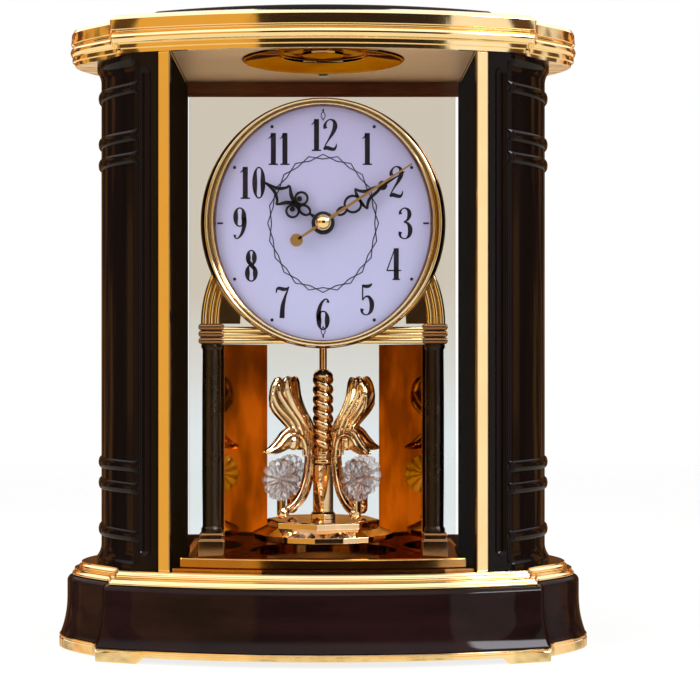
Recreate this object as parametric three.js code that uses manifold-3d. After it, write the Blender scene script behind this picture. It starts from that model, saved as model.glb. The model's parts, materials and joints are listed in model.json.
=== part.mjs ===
// Mantel clock with a glazed case, an oval dial and a rotating pendulum of swans and crystals.
// Millimetres, +Z up. The front looks along -Y, and the origin is on the table under the middle.

import * as THREE from 'three';
import { mergeVertices } from 'three/addons/utils/BufferGeometryUtils.js';
import Module from 'manifold-3d';

const wasm = await Module();
wasm.setup();

// Driving sizes of the case

const CASE_WIDTH = 205;
const CASE_DEPTH = 115;
const BACK_Y = CASE_DEPTH / 2;
const FRONT_Y = -CASE_DEPTH / 2;
const FRONT_CORNER_X = 83.6;
const BOW_RISE = 16.3;
const BOW_STEPS = 7;
const NOTCH_DEPTH = 11.4;
const NOTCH_SPLAY = 1.6;
const EAR_REAR_SETBACK = 17.5;
const EAR_REAR_Y = BACK_Y - EAR_REAR_SETBACK;
const EAR_CORNER_SWEEP = [6.8, 7.8];
const EAR_SIDE_SWEEP = 13;
const EAR_REAR_SWEEP = 16;
const EAR_TAIL_SWEEP = [8.5, 8];
const REAR_NOTCH = 2.5;
const EAR_STEPS = 5;
const REAR_INSET_SHARE = 0.35;

// Heights of the case, from the table up

const FOOT_RELIEF = 2.35;
const SKIRT_HEIGHT = 5;
const PLINTH_HEIGHT = 22.5;
const LOWER_TIER_HEIGHT = 2.8;
const UPPER_TIER_HEIGHT = 2.4;
const PILASTER_HEIGHT = 191.7;
const MOULDING_HEIGHT = 13.7;
const TOP_PANEL_HEIGHT = 1.9;

const PLINTH_TOP = SKIRT_HEIGHT + PLINTH_HEIGHT;
const LOWER_TIER_TOP = PLINTH_TOP + LOWER_TIER_HEIGHT;
const DECK_Z = LOWER_TIER_TOP + UPPER_TIER_HEIGHT;
const SOFFIT_Z = DECK_Z + PILASTER_HEIGHT;
const MOULDING_TOP = SOFFIT_Z + MOULDING_HEIGHT;

const GAP = 0.3;
const MERGE_TOLERANCE = 0.01;

// Shape helpers

function solidFrom(geometry) {
  const bare = geometry.clone();
  bare.deleteAttribute('normal');
  bare.deleteAttribute('uv');
  const merged = mergeVertices(bare, 1e-4);
  const vertProperties = new Float32Array(merged.attributes.position.array);
  const triVerts = new Uint32Array(merged.index.array);
  const mesh = new wasm.Mesh({ numProp: 3, vertProperties, triVerts });
  mesh.merge();
  return new wasm.Manifold(mesh);
}

// Slivers left by joins and cuts are merged where no surface moves by more than the tolerance.
function geometryFrom(solid) {
  const mesh = solid.asOriginal().simplify(MERGE_TOLERANCE).getMesh();
  const geometry = new THREE.BufferGeometry();
  geometry.setAttribute('position', new THREE.BufferAttribute(mesh.vertProperties, 3));
  geometry.setIndex(new THREE.BufferAttribute(mesh.triVerts, 1));
  return geometry;
}

function joined(...geometries) {
  const solids = geometries.map(solidFrom);
  return geometryFrom(solids.reduce((whole, solid) => whole.add(solid)));
}

function cutBy(geometry, ...cutters) {
  const solids = cutters.map(solidFrom);
  return geometryFrom(solids.reduce((whole, solid) => whole.subtract(solid), solidFrom(geometry)));
}

function keptWithin(geometry, bounds) {
  return geometryFrom(solidFrom(geometry).intersect(solidFrom(bounds)));
}

// A loft joins rings of equal point counts, each counter-clockwise seen from the last ring's side.
function loft(rings) {
  const count = rings[0].length;
  const positions = rings.flat().flatMap((point) => [point.x, point.y, point.z]);
  const index = [];
  for (let level = 0; level < rings.length - 1; level += 1) {
    for (let j = 0; j < count; j += 1) {
      const a = level * count + j;
      const b = level * count + (j + 1) % count;
      index.push(a, b, b + count, a, b + count, a + count);
    }
  }
  const first = capFaces(rings[0]);
  const last = capFaces(rings[rings.length - 1]);
  const lastStart = (rings.length - 1) * count;
  for (const [a, b, c] of first) {
    index.push(c, b, a);
  }
  for (const [a, b, c] of last) {
    index.push(lastStart + a, lastStart + b, lastStart + c);
  }
  const geometry = new THREE.BufferGeometry();
  geometry.setAttribute('position', new THREE.Float32BufferAttribute(positions, 3));
  geometry.setIndex(index);
  return geometry;
}

// The faces of an end cap, worked out in the ring's own plane.
function capFaces(ring) {
  const normal = new THREE.Vector3();
  for (let j = 0; j < ring.length; j += 1) {
    normal.add(new THREE.Vector3().crossVectors(ring[j], ring[(j + 1) % ring.length]));
  }
  const facing = new THREE.Quaternion().setFromUnitVectors(normal.normalize(), new THREE.Vector3(0, 0, 1));
  const flat = ring.map((point) => {
    const turned = point.clone().applyQuaternion(facing);
    return new THREE.Vector2(turned.x, turned.y);
  });
  return THREE.ShapeUtils.triangulateShape(flat, []);
}

function atHeight(plan, z) {
  return plan.map((point) => new THREE.Vector3(point.x, point.y, z));
}

function shapeOf(points) {
  return new THREE.Shape(points);
}

// A prism over a plan in X and Y, from one height to another.
function prism(plan, bottom, top) {
  return loft([atHeight(plan, bottom), atHeight(plan, top)]);
}

// A plate over an outline drawn in X and Z, from its front face to its back face.
function uprightPlate(shape, frontY, backY, curveSegments = 24) {
  const options = { depth: backY - frontY, bevelEnabled: false, curveSegments };
  const geometry = new THREE.ExtrudeGeometry(shape, options);
  geometry.rotateX(Math.PI / 2);
  geometry.translate(0, backY, 0);
  return geometry;
}

// A turned piece about the Z axis, from pairs of radius and height going up the outside.
function turned(profile, segments) {
  const points = profile.map(([radius, height]) => new THREE.Vector2(radius, height));
  const geometry = new THREE.LatheGeometry(points, segments);
  geometry.rotateX(Math.PI / 2);
  return geometry;
}

// A turned piece about an axis that points at the viewer, with heights measured along -Y.
function turnedForward(profile, segments) {
  const geometry = turned(profile, segments);
  geometry.rotateX(Math.PI / 2);
  return geometry;
}

function block(left, right, front, back, bottom, top) {
  const geometry = new THREE.BoxGeometry(right - left, back - front, top - bottom);
  geometry.translate((left + right) / 2, (front + back) / 2, (bottom + top) / 2);
  return geometry;
}

function mirrored(geometry) {
  const copy = geometry.index ? geometry.toNonIndexed() : geometry.clone();
  copy.scale(-1, 1, 1);
  const position = copy.attributes.position;
  for (let i = 0; i < position.count; i += 3) {
    const [x, y, z] = [position.getX(i), position.getY(i), position.getZ(i)];
    position.setXYZ(i, position.getX(i + 2), position.getY(i + 2), position.getZ(i + 2));
    position.setXYZ(i + 2, x, y, z);
  }
  copy.deleteAttribute('normal');
  copy.deleteAttribute('uv');
  return copy;
}

// A plan moved inwards by one distance all round, each corner staying where its two sides meet.
function insetPlan(plan, inset) {
  const count = plan.length;
  return plan.map((point, i) => {
    const before = plan[(i + count - 1) % count];
    const after = plan[(i + 1) % count];
    const arriving = point.clone().sub(before).normalize();
    const leaving = after.clone().sub(point).normalize();
    const arrivingInwards = new THREE.Vector2(-arriving.y, arriving.x);
    const leavingInwards = new THREE.Vector2(-leaving.y, leaving.x);
    const middle = arrivingInwards.clone().add(leavingInwards);
    const reach = inset / (1 + arrivingInwards.dot(leavingInwards));
    return point.clone().addScaledVector(middle, reach);
  });
}

// The right half of a plan, from the front middle to the rear, completed by its mirror image.
function mirroredPlan(half) {
  const left = half.slice(1).reverse().map((point) => new THREE.Vector2(-point.x, point.y));
  return [...half, ...left];
}

function bowPoints(inset, fromX, toX, steps) {
  const radius = (FRONT_CORNER_X ** 2 + BOW_RISE ** 2) / (2 * BOW_RISE);
  const centreY = FRONT_Y + radius;
  const points = [];
  for (let i = 0; i <= steps; i += 1) {
    const x = THREE.MathUtils.lerp(fromX, toX, i / steps);
    points.push(new THREE.Vector2(x, centreY - Math.sqrt((radius - inset) ** 2 - x ** 2)));
  }
  return points;
}

// The outline shared by the plinth and every moulding: bowed front, notched corners, rounded ears.
function caseOutline() {
  const side = CASE_WIDTH / 2;
  const bow = bowPoints(0, 0, FRONT_CORNER_X, BOW_STEPS);
  const frontCorner = bow[bow.length - 1];
  const earStart = new THREE.Vector2(frontCorner.x + NOTCH_SPLAY, frontCorner.y + NOTCH_DEPTH);
  const frontEar = new THREE.CubicBezierCurve(
    earStart,
    new THREE.Vector2(earStart.x + EAR_CORNER_SWEEP[0], earStart.y + EAR_CORNER_SWEEP[1]),
    new THREE.Vector2(side, -EAR_SIDE_SWEEP),
    new THREE.Vector2(side, 0),
  );
  const rearEar = new THREE.CubicBezierCurve(
    new THREE.Vector2(side, 0),
    new THREE.Vector2(side, EAR_REAR_SWEEP),
    new THREE.Vector2(side - EAR_TAIL_SWEEP[0], EAR_REAR_Y - EAR_TAIL_SWEEP[1]),
    new THREE.Vector2(FRONT_CORNER_X + NOTCH_SPLAY, EAR_REAR_Y),
  );
  const rearStep = new THREE.Vector2(FRONT_CORNER_X, EAR_REAR_Y + REAR_NOTCH);
  const rearCorner = new THREE.Vector2(FRONT_CORNER_X, BACK_Y);
  return mirroredPlan([
    ...bow,
    ...frontEar.getPoints(EAR_STEPS),
    ...rearEar.getPoints(EAR_STEPS).slice(1),
    rearStep,
    rearCorner,
  ]);
}

const OUTLINE = caseOutline();

// The outline set in all round, the back kept nearly flat and the ears swollen by a further amount.
function casePlan(inset, earSwell) {
  const rearY = BACK_Y - inset * REAR_INSET_SHARE;
  const earStart = FRONT_CORNER_X + NOTCH_SPLAY;
  return insetPlan(OUTLINE, inset).map((point, i) => {
    const share = Math.max(Math.abs(OUTLINE[i].x) - earStart, 0) / (CASE_WIDTH / 2 - earStart);
    const x = point.x + Math.sign(point.x) * earSwell * share;
    return new THREE.Vector2(x, OUTLINE[i].y === BACK_Y ? rearY : point.y);
  });
}

// A solid whose outline is the case's, set in by its own amount at each height.
function caseSolid(levels) {
  return loft(levels.map(([z, inset, earSwell = 0]) => atHeight(casePlan(inset, earSwell), z)));
}

// Points of a half-round bead between two heights, swelling outwards from a given inset.
function beadLevels(bottom, top, inset, proud, steps) {
  const levels = [];
  for (let i = 0; i <= steps; i += 1) {
    const angle = Math.PI * i / steps;
    levels.push([bottom + (top - bottom) * (1 - Math.cos(angle)) / 2, inset - proud * Math.sin(angle)]);
  }
  return levels;
}

const clock = new THREE.Group();

function finish(color, roughness, metalness) {
  return new THREE.MeshStandardMaterial({ color, roughness, metalness });
}

const GILT = () => finish(0xe3a83c, 0.16, 1);
const WALNUT = () => finish(0x231616, 0.16, 0);
const BLACK = () => finish(0x120c0c, 0.12, 0);
const CLEAR = () => finish(0xe6eef0, 0.05, 0);
const AMBER = () => finish(0xb05a16, 0.12, 1);
const DARK_PLASTIC = () => finish(0x1a1a1c, 0.45, 0);
const STEEL = () => finish(0x9a9a9c, 0.35, 1);
const HAND_BLACK = () => finish(0x0c0a0b, 0.35, 0.2);
const CRYSTAL = () => finish(0xeef2f4, 0.04, 0);

function piece(name, geometry, material, parent = clock) {
  const mesh = new THREE.Mesh(geometry, material);
  mesh.name = name;
  parent.add(mesh);
  return mesh;
}

// Gilt foot skirt: a ring under the plinth, relieved between its feet at the front and the rear

const SKIRT_WALL = 4;
const FOOT_INNER_X = 68.5;
const REAR_FOOT_INNER_X = 66;
const RELIEF_REACH = 10;

function reliefCutter(innerX, frontY, backY) {
  const outline = shapeOf([
    new THREE.Vector2(-innerX, -1),
    new THREE.Vector2(innerX, -1),
    new THREE.Vector2(innerX, 0),
    new THREE.Vector2(innerX - FOOT_RELIEF, FOOT_RELIEF),
    new THREE.Vector2(-innerX + FOOT_RELIEF, FOOT_RELIEF),
    new THREE.Vector2(-innerX, 0),
  ]);
  return uprightPlate(outline, frontY, backY);
}

const skirtOuter = prism(OUTLINE, 0, SKIRT_HEIGHT);
const skirtInner = prism(insetPlan(OUTLINE, SKIRT_WALL), -1, SKIRT_HEIGHT + 1);
const frontRelief = reliefCutter(FOOT_INNER_X, FRONT_Y - 1, FRONT_Y + BOW_RISE + RELIEF_REACH);
const rearRelief = reliefCutter(REAR_FOOT_INNER_X, BACK_Y - RELIEF_REACH, BACK_Y + 1);
piece('foot_skirt', cutBy(skirtOuter, skirtInner, frontRelief, rearRelief), GILT());

// Plinth: a moulded shell with a hollowed lower flare, a rounded shoulder and four screw bosses

const PLINTH_EDGE = 0.4;
const PLINTH_FLARE = 3.1;
const FLARE_HEIGHT = 15;
const SHOULDER_RADIUS = 2.1;
const PLINTH_WALL_INSET = 6;
const PLINTH_DECK = 3.5;
const BOSS_RADIUS = 4;
const SCREW_HOLE_RADIUS = 1.7;
const SCREW_SHANK_RADIUS = 1.4;
const SCREW_DEPTH = 11;
const SCREW_X = FRONT_CORNER_X - 13.6;
const FRONT_SCREW_Y = FRONT_Y + 33.5;
const REAR_SCREW_Y = BACK_Y - 19.5;
const SCREW_PLACES = [
  [-SCREW_X, FRONT_SCREW_Y],
  [SCREW_X, FRONT_SCREW_Y],
  [-SCREW_X, REAR_SCREW_Y],
  [SCREW_X, REAR_SCREW_Y],
];

function plinthLevels() {
  const levels = [];
  for (let i = 0; i <= 3; i += 1) {
    const rise = i / 3;
    const inset = PLINTH_EDGE + (PLINTH_FLARE - PLINTH_EDGE) * (1 - (1 - rise) ** 2.2);
    levels.push([SKIRT_HEIGHT + FLARE_HEIGHT * rise, inset]);
  }
  for (let i = 0; i <= 3; i += 1) {
    const angle = Math.PI / 2 * i / 3;
    const z = PLINTH_TOP - SHOULDER_RADIUS * (1 - Math.sin(angle));
    levels.push([z, PLINTH_FLARE + SHOULDER_RADIUS * (1 - Math.cos(angle))]);
  }
  return levels;
}

function post(x, y, radius, bottom, top, segments = 12) {
  const geometry = new THREE.CylinderGeometry(radius, radius, top - bottom, segments);
  geometry.rotateX(Math.PI / 2);
  geometry.translate(x, y, (bottom + top) / 2);
  return geometry;
}

const cavityTop = PLINTH_TOP - PLINTH_DECK;
const plinthCavity = prism(insetPlan(OUTLINE, PLINTH_WALL_INSET), SKIRT_HEIGHT - 1, cavityTop);
const hollowPlinth = cutBy(caseSolid(plinthLevels()), plinthCavity);
const bosses = SCREW_PLACES.map(([x, y]) => post(x, y, BOSS_RADIUS, SKIRT_HEIGHT, cavityTop + 1));
const bossedPlinth = joined(hollowPlinth, ...bosses);
const bossHoles = SCREW_PLACES.map(([x, y]) => (
  post(x, y, SCREW_HOLE_RADIUS, SKIRT_HEIGHT - 1, SKIRT_HEIGHT + SCREW_DEPTH + 1, 8)
));
piece('plinth', cutBy(bossedPlinth, ...bossHoles), WALNUT());

// Bottom cover and its four screws

const COVER_THICKNESS = 2;
const COVER_BOTTOM = SKIRT_HEIGHT - COVER_THICKNESS;
const SCREW_HEAD_RADIUS = 3.1;
const SCREW_HEAD_HEIGHT = 1.4;

const coverHoles = SCREW_PLACES.map(([x, y]) => (
  post(x, y, SCREW_HOLE_RADIUS, COVER_BOTTOM - 1, SKIRT_HEIGHT + 1, 8)
));
const coverPlate = prism(insetPlan(OUTLINE, SKIRT_WALL + GAP), COVER_BOTTOM, SKIRT_HEIGHT);
piece('bottom_cover', cutBy(coverPlate, ...coverHoles), DARK_PLASTIC());

SCREW_PLACES.forEach(([x, y], i) => {
  const screw = turned([
    [0, COVER_BOTTOM - SCREW_HEAD_HEIGHT],
    [SCREW_HEAD_RADIUS * 0.75, COVER_BOTTOM - SCREW_HEAD_HEIGHT],
    [SCREW_HEAD_RADIUS, COVER_BOTTOM],
    [SCREW_SHANK_RADIUS, COVER_BOTTOM],
    [SCREW_SHANK_RADIUS, SKIRT_HEIGHT + SCREW_DEPTH - 2],
    [0, SKIRT_HEIGHT + SCREW_DEPTH],
  ], 8);
  screw.translate(x, y, 0);
  piece(`bottom_screw_${i + 1}`, screw, STEEL());
});

// Lower gilt moulding: two tiers, each with a rounded lip below a hollowed face

const TIER_INSETS = [5.4, 8.1];
const LIP_HEIGHT = 1.3;
const LIP_PROUD = 0.45;

function tierLevels(bottom, top, inset) {
  return [
    ...beadLevels(bottom, bottom + LIP_HEIGHT, inset, LIP_PROUD, 3),
    [top, inset + 0.5],
  ];
}

const lowerMoulding = caseSolid([
  ...tierLevels(PLINTH_TOP, LOWER_TIER_TOP, TIER_INSETS[0]),
  ...tierLevels(LOWER_TIER_TOP, DECK_Z, TIER_INSETS[1]),
]);
piece('lower_moulding', lowerMoulding, GILT());

// Side pilasters: full-height mouldings with a fluted front and ribs that wrap the outer side

const CHAMBER_HALF_WIDTH = 56.5;
const PILASTER_FRONT_INSET = 10.5;
const PILASTER_REAR_SETBACK = 5;
const PILASTER_REAR_Y = BACK_Y - PILASTER_REAR_SETBACK;
const PILASTER_REAR_X = CHAMBER_HALF_WIDTH + 9.5;
const PILASTER_CORNER_X = CHAMBER_HALF_WIDTH + 12.5;
const PILASTER_SIDE_X = 86.4;
const PILASTER_SIDE_Y = 2;
const PILASTER_CORNER_SWEEP = [6, 8.5];
const PILASTER_FRONT_SWEEP = [0.4, 17];
const PILASTER_REAR_SWEEP = 20;
const PILASTER_TAIL_SWEEP = [8.5, 40];
const STRIP_THICKNESS = 1.4;
const STRIP_PROUD = 0.2;
const STRIP_CHAMFER = 0.5;
const STRIP_BED = 0.05;
const STRIP_RECESS_WIDTH = 4.7;
const STRIP_OUTER_X = CHAMBER_HALF_WIDTH + STRIP_RECESS_WIDTH;
const MID_HEIGHT = (DECK_Z + SOFFIT_Z) / 2;
const RIB_OFFSETS = [57.4, 65.5, 83.3];
const RIB_HEIGHT = 4.4;
const RIB_PROUD = 1.1;
const CAP_PROUD = 1.5;
const CAP_HEIGHT = 2.2;
const CAP_SWEEP = 5;

// The rib's share of its full swell at each point of the section, none on the front and the inside.
function pilasterSection() {
  const strip = bowPoints(PILASTER_FRONT_INSET + STRIP_THICKNESS, CHAMBER_HALF_WIDTH, STRIP_OUTER_X, 1);
  const face = bowPoints(PILASTER_FRONT_INSET, STRIP_OUTER_X, PILASTER_CORNER_X, 2);
  const corner = face[face.length - 1];
  const side = new THREE.Vector2(PILASTER_SIDE_X, PILASTER_SIDE_Y);
  const frontSweep = new THREE.CubicBezierCurve(
    corner,
    new THREE.Vector2(corner.x + PILASTER_CORNER_SWEEP[0], corner.y + PILASTER_CORNER_SWEEP[1]),
    new THREE.Vector2(side.x - PILASTER_FRONT_SWEEP[0], side.y - PILASTER_FRONT_SWEEP[1]),
    side,
  );
  const rearSweep = new THREE.CubicBezierCurve(
    side,
    new THREE.Vector2(side.x, side.y + PILASTER_REAR_SWEEP),
    new THREE.Vector2(side.x - PILASTER_TAIL_SWEEP[0], side.y + PILASTER_TAIL_SWEEP[1]),
    new THREE.Vector2(PILASTER_REAR_X, PILASTER_REAR_Y),
  );
  const outer = [...frontSweep.getPoints(5), ...rearSweep.getPoints(3).slice(1)];
  const plain = [new THREE.Vector2(CHAMBER_HALF_WIDTH, PILASTER_REAR_Y), ...strip, ...face.slice(0, -1)];
  return { plain, outer };
}

function pilasterRing(section, proud, z) {
  const all = [...section.plain, ...section.outer];
  const swollen = insetPlan(all, -proud);
  const ring = all.map((point, i) => {
    const isOuter = i > section.plain.length;
    const isRearEnd = i === all.length - 1;
    if (!isOuter) {
      return point;
    }
    return isRearEnd ? new THREE.Vector2(swollen[i].x, point.y) : swollen[i];
  });
  return atHeight(ring, z);
}

function ribLevels(centre) {
  return beadLevels(centre - RIB_HEIGHT / 2, centre + RIB_HEIGHT / 2, 0, RIB_PROUD, 3)
    .map(([z, inset]) => [z, -inset]);
}

function pilasterLevels() {
  const upper = [];
  for (const offset of RIB_OFFSETS) {
    upper.push(...ribLevels(MID_HEIGHT + offset));
  }
  upper.push([SOFFIT_Z - CAP_HEIGHT - CAP_SWEEP, 0]);
  upper.push([SOFFIT_Z - CAP_HEIGHT - CAP_SWEEP * 0.4, CAP_PROUD * 0.35]);
  upper.push([SOFFIT_Z - CAP_HEIGHT, CAP_PROUD]);
  upper.push([SOFFIT_Z, CAP_PROUD]);
  const lower = upper.map(([z, proud]) => [2 * MID_HEIGHT - z, proud]).reverse();
  return [...lower, ...upper];
}

const FLUTE_X = CHAMBER_HALF_WIDTH + 9.7;
const FLUTE_RADIUS = 2.9;
const FLUTE_SINK = 1.1;
const FLUTE_MARGIN = 5;

function fluteCutter() {
  const length = PILASTER_HEIGHT - 2 * FLUTE_MARGIN - 2 * FLUTE_RADIUS;
  const geometry = new THREE.CapsuleGeometry(FLUTE_RADIUS, length, 2, 12, 1);
  geometry.rotateX(Math.PI / 2);
  const faceY = bowPoints(PILASTER_FRONT_INSET, FLUTE_X, FLUTE_X, 1)[0].y;
  geometry.translate(FLUTE_X, faceY - FLUTE_RADIUS + FLUTE_SINK, MID_HEIGHT);
  return geometry;
}

const section = pilasterSection();
const rightPilaster = cutBy(
  loft(pilasterLevels().map(([z, proud]) => pilasterRing(section, proud, z))),
  fluteCutter(),
);
piece('right_pilaster', rightPilaster, BLACK());
piece('left_pilaster', mirrored(rightPilaster), BLACK());

// Gilt strips set into the inner front edge of each pilaster

function giltStrip() {
  const back = bowPoints(PILASTER_FRONT_INSET + STRIP_THICKNESS, CHAMBER_HALF_WIDTH, STRIP_OUTER_X - GAP, 1);
  const front = bowPoints(PILASTER_FRONT_INSET - STRIP_PROUD, CHAMBER_HALF_WIDTH, STRIP_OUTER_X - GAP, 1);
  const innerChamfer = front[0].clone().add(new THREE.Vector2(STRIP_CHAMFER, 0));
  const outerChamfer = front[1].clone().sub(new THREE.Vector2(STRIP_CHAMFER, 0));
  const innerSide = front[0].clone().add(new THREE.Vector2(0, STRIP_CHAMFER));
  const outerSide = front[1].clone().add(new THREE.Vector2(0, STRIP_CHAMFER));
  const lift = new THREE.Vector2(0, -STRIP_BED);
  const plan = [
    innerSide,
    innerChamfer,
    outerChamfer,
    outerSide,
    back[1].add(lift),
    back[0].add(lift),
  ];
  return prism(plan, DECK_Z, SOFFIT_Z);
}

const rightStrip = giltStrip();
piece('right_gilt_strip', rightStrip, GILT());
piece('left_gilt_strip', mirrored(rightStrip), GILT());

// Upper gilt moulding, with a pocket under it for the ceiling, the glass and the rear rail

const POCKET_DEPTH = 2.2;
const POCKET_FRONT_INSET = 11;
const ROSETTE_RADIUS = 31;
const ROSETTE_SETBACK = 45.5;
const ROSETTE_Y = FRONT_Y + ROSETTE_SETBACK;
const ROSETTE_DEPTH = 4.6;
const UPPER_INSETS = { step: 9.4, middle: 8.3, bead: 7.3, groove: 7.4, fascia: 5.5, bevel: 7.6 };
const UPPER_HEIGHTS = { middle: 1.5, bead: 3.1, groove: 8, bevel: 12 };
const UPPER_EAR_SWELLS = { step: 3.3, middle: 3.3, bead: 1.5, fascia: 1.1, bevel: -0.8, top: -1.8 };
const BEAD_STEP = 0.2;
const BEAD_HEIGHT = 3.8;
const BEAD_PROUD = 1.5;

function chamberPlan(frontInset, halfWidth, rearY) {
  const bow = bowPoints(frontInset, 0, halfWidth, 5);
  return mirroredPlan([...bow, new THREE.Vector2(halfWidth, rearY)]);
}

const beadBottom = SOFFIT_Z + UPPER_HEIGHTS.bead + BEAD_STEP;
const beadRows = beadLevels(beadBottom, beadBottom + BEAD_HEIGHT, UPPER_INSETS.bead, BEAD_PROUD, 3);
const upperSolid = caseSolid([
  [SOFFIT_Z, UPPER_INSETS.step, UPPER_EAR_SWELLS.step],
  [SOFFIT_Z + UPPER_HEIGHTS.middle, UPPER_INSETS.step, UPPER_EAR_SWELLS.step],
  [SOFFIT_Z + UPPER_HEIGHTS.middle, UPPER_INSETS.middle, UPPER_EAR_SWELLS.middle],
  [SOFFIT_Z + UPPER_HEIGHTS.bead, UPPER_INSETS.middle, UPPER_EAR_SWELLS.middle],
  ...beadRows.map(([z, inset]) => [z, inset, UPPER_EAR_SWELLS.bead]),
  [SOFFIT_Z + UPPER_HEIGHTS.groove, UPPER_INSETS.groove, UPPER_EAR_SWELLS.bead],
  [SOFFIT_Z + UPPER_HEIGHTS.groove, UPPER_INSETS.fascia, UPPER_EAR_SWELLS.fascia],
  [SOFFIT_Z + UPPER_HEIGHTS.bevel, UPPER_INSETS.fascia, UPPER_EAR_SWELLS.bevel],
  [MOULDING_TOP, UPPER_INSETS.bevel, UPPER_EAR_SWELLS.top],
]);
const pocket = prism(
  chamberPlan(POCKET_FRONT_INSET, CHAMBER_HALF_WIDTH, PILASTER_REAR_Y),
  SOFFIT_Z - 1,
  SOFFIT_Z + POCKET_DEPTH,
);
const rosettePocket = post(0, ROSETTE_Y, ROSETTE_RADIUS + GAP, SOFFIT_Z, SOFFIT_Z + ROSETTE_DEPTH + GAP, 24);
piece('upper_moulding', cutBy(upperSolid, pocket, rosettePocket), GILT());

// Dark gloss panel on the top, with a softened edge

const TOP_PANEL_CORNER_X = 62.5;
const TOP_PANEL_MARGIN = 8;
const TOP_PANEL_EDGE = [[0, 0], [0.47, 0.2], [0.79, 0.8], [1, 1.8]];

const topPlan = OUTLINE.map((point) => new THREE.Vector2(
  point.x * TOP_PANEL_CORNER_X / FRONT_CORNER_X,
  point.y * (1 - TOP_PANEL_MARGIN / BACK_Y),
));
const topPanel = loft(TOP_PANEL_EDGE.map(([rise, inset]) => (
  atHeight(insetPlan(topPlan, inset), MOULDING_TOP + TOP_PANEL_HEIGHT * rise)
)));
piece('top_panel', topPanel, WALNUT());

// Front glass: a bowed sheet between the pilasters, standing on the deck and held in the pocket

const GLASS_FRONT_INSET = 11.4;
const GLASS_THICKNESS = 1.6;
const GLASS_HALF_WIDTH = CHAMBER_HALF_WIDTH - GAP;

function glassPlan() {
  const front = bowPoints(GLASS_FRONT_INSET, -GLASS_HALF_WIDTH, GLASS_HALF_WIDTH, 14);
  const back = bowPoints(GLASS_FRONT_INSET + GLASS_THICKNESS, GLASS_HALF_WIDTH, -GLASS_HALF_WIDTH, 14);
  return [...front, ...back];
}

const GLASS_TOP_CLEARANCE = 1.3;
const glassTop = SOFFIT_Z + POCKET_DEPTH - GLASS_TOP_CLEARANCE;
piece('front_glass', prism(glassPlan(), DECK_Z, glassTop), CLEAR());

// Floor, ceiling and the two rear rails of the glazed chamber

const FLOOR_THICKNESS = 1;
const CEILING_THICKNESS = 1;
const RAIL_SETBACK = 11;
const RAIL_FRONT_Y = BACK_Y - RAIL_SETBACK;
const RAIL_HEIGHT = 2.2;
const RAIL_DROP = 1.6;
const RAIL_LIP = 2.8;
const RAIL_CHAMFER = 0.8;
const DOOR_SETBACK = 7.2;
const DOOR_FRONT_Y = BACK_Y - DOOR_SETBACK;
const DOOR_THICKNESS = 2;
const CHAMBER_INSET = GLASS_FRONT_INSET + GLASS_THICKNESS + GAP;
const FLOOR_Z = DECK_Z + FLOOR_THICKNESS;
const CEILING_Z = SOFFIT_Z + POCKET_DEPTH - CEILING_THICKNESS;

const liningPlan = chamberPlan(CHAMBER_INSET, GLASS_HALF_WIDTH, RAIL_FRONT_Y - GAP);
piece('floor_plate', prism(liningPlan, DECK_Z, FLOOR_Z), GILT());

const CEILING_SCREW_MARGIN = 5;
const CEILING_SCREW_RADIUS = 2.45;
const CEILING_SCREW_DROP = 1.5;
const HUB_RADIUS = 8;
const HUB_DROP = 0.3;
const RING_RADIUS = 17;
const RING_SLOPE = 0.3;
const DISH_RISE = 2.4;
const RIM_WIDTH = 2;
const RIM_DROP = 1;

const ceilingHole = post(0, ROSETTE_Y, ROSETTE_RADIUS + GAP, CEILING_Z - 1, CEILING_Z + 2, 24);
const screwY = ROSETTE_Y + ROSETTE_RADIUS + CEILING_SCREW_MARGIN;
const ceilingPlate = prism(liningPlan, CEILING_Z, CEILING_Z + CEILING_THICKNESS);
piece('ceiling_panel', cutBy(ceilingPlate, ceilingHole), AMBER());

const rosette = turned([
  [0, CEILING_Z + HUB_DROP],
  [HUB_RADIUS, CEILING_Z + DISH_RISE / 2],
  [HUB_RADIUS + RING_SLOPE, CEILING_Z + DISH_RISE],
  [RING_RADIUS - RING_SLOPE, CEILING_Z + DISH_RISE],
  [RING_RADIUS, CEILING_Z + DISH_RISE / 2],
  [ROSETTE_RADIUS - RIM_WIDTH, CEILING_Z - RIM_DROP / 2],
  [ROSETTE_RADIUS - RIM_WIDTH * 0.4, CEILING_Z - RIM_DROP],
  [ROSETTE_RADIUS, CEILING_Z - RIM_DROP / 2],
  [ROSETTE_RADIUS, SOFFIT_Z + ROSETTE_DEPTH],
  [0, SOFFIT_Z + ROSETTE_DEPTH],
], 24);
rosette.translate(0, ROSETTE_Y, 0);
piece('ceiling_rosette', rosette, AMBER());

const rosetteScrew = turned([
  [0, CEILING_Z - CEILING_SCREW_DROP],
  [CEILING_SCREW_RADIUS * 0.78, CEILING_Z - CEILING_SCREW_DROP * 0.73],
  [CEILING_SCREW_RADIUS, CEILING_Z],
  [0, CEILING_Z],
], 10);
rosetteScrew.translate(0, screwY, 0);
piece('ceiling_screw', rosetteScrew, STEEL());

// Rails across the rear opening: each has a lip that stops the door and a hole for its hinge pin

const HINGE_MARGIN = 2.2;
const HINGE_X = CHAMBER_HALF_WIDTH - HINGE_MARGIN;
const HINGE_Y = DOOR_FRONT_Y + DOOR_THICKNESS / 2;
const PIN_RADIUS = DOOR_THICKNESS / 2;
const PIN_LENGTH = 1.2;

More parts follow.
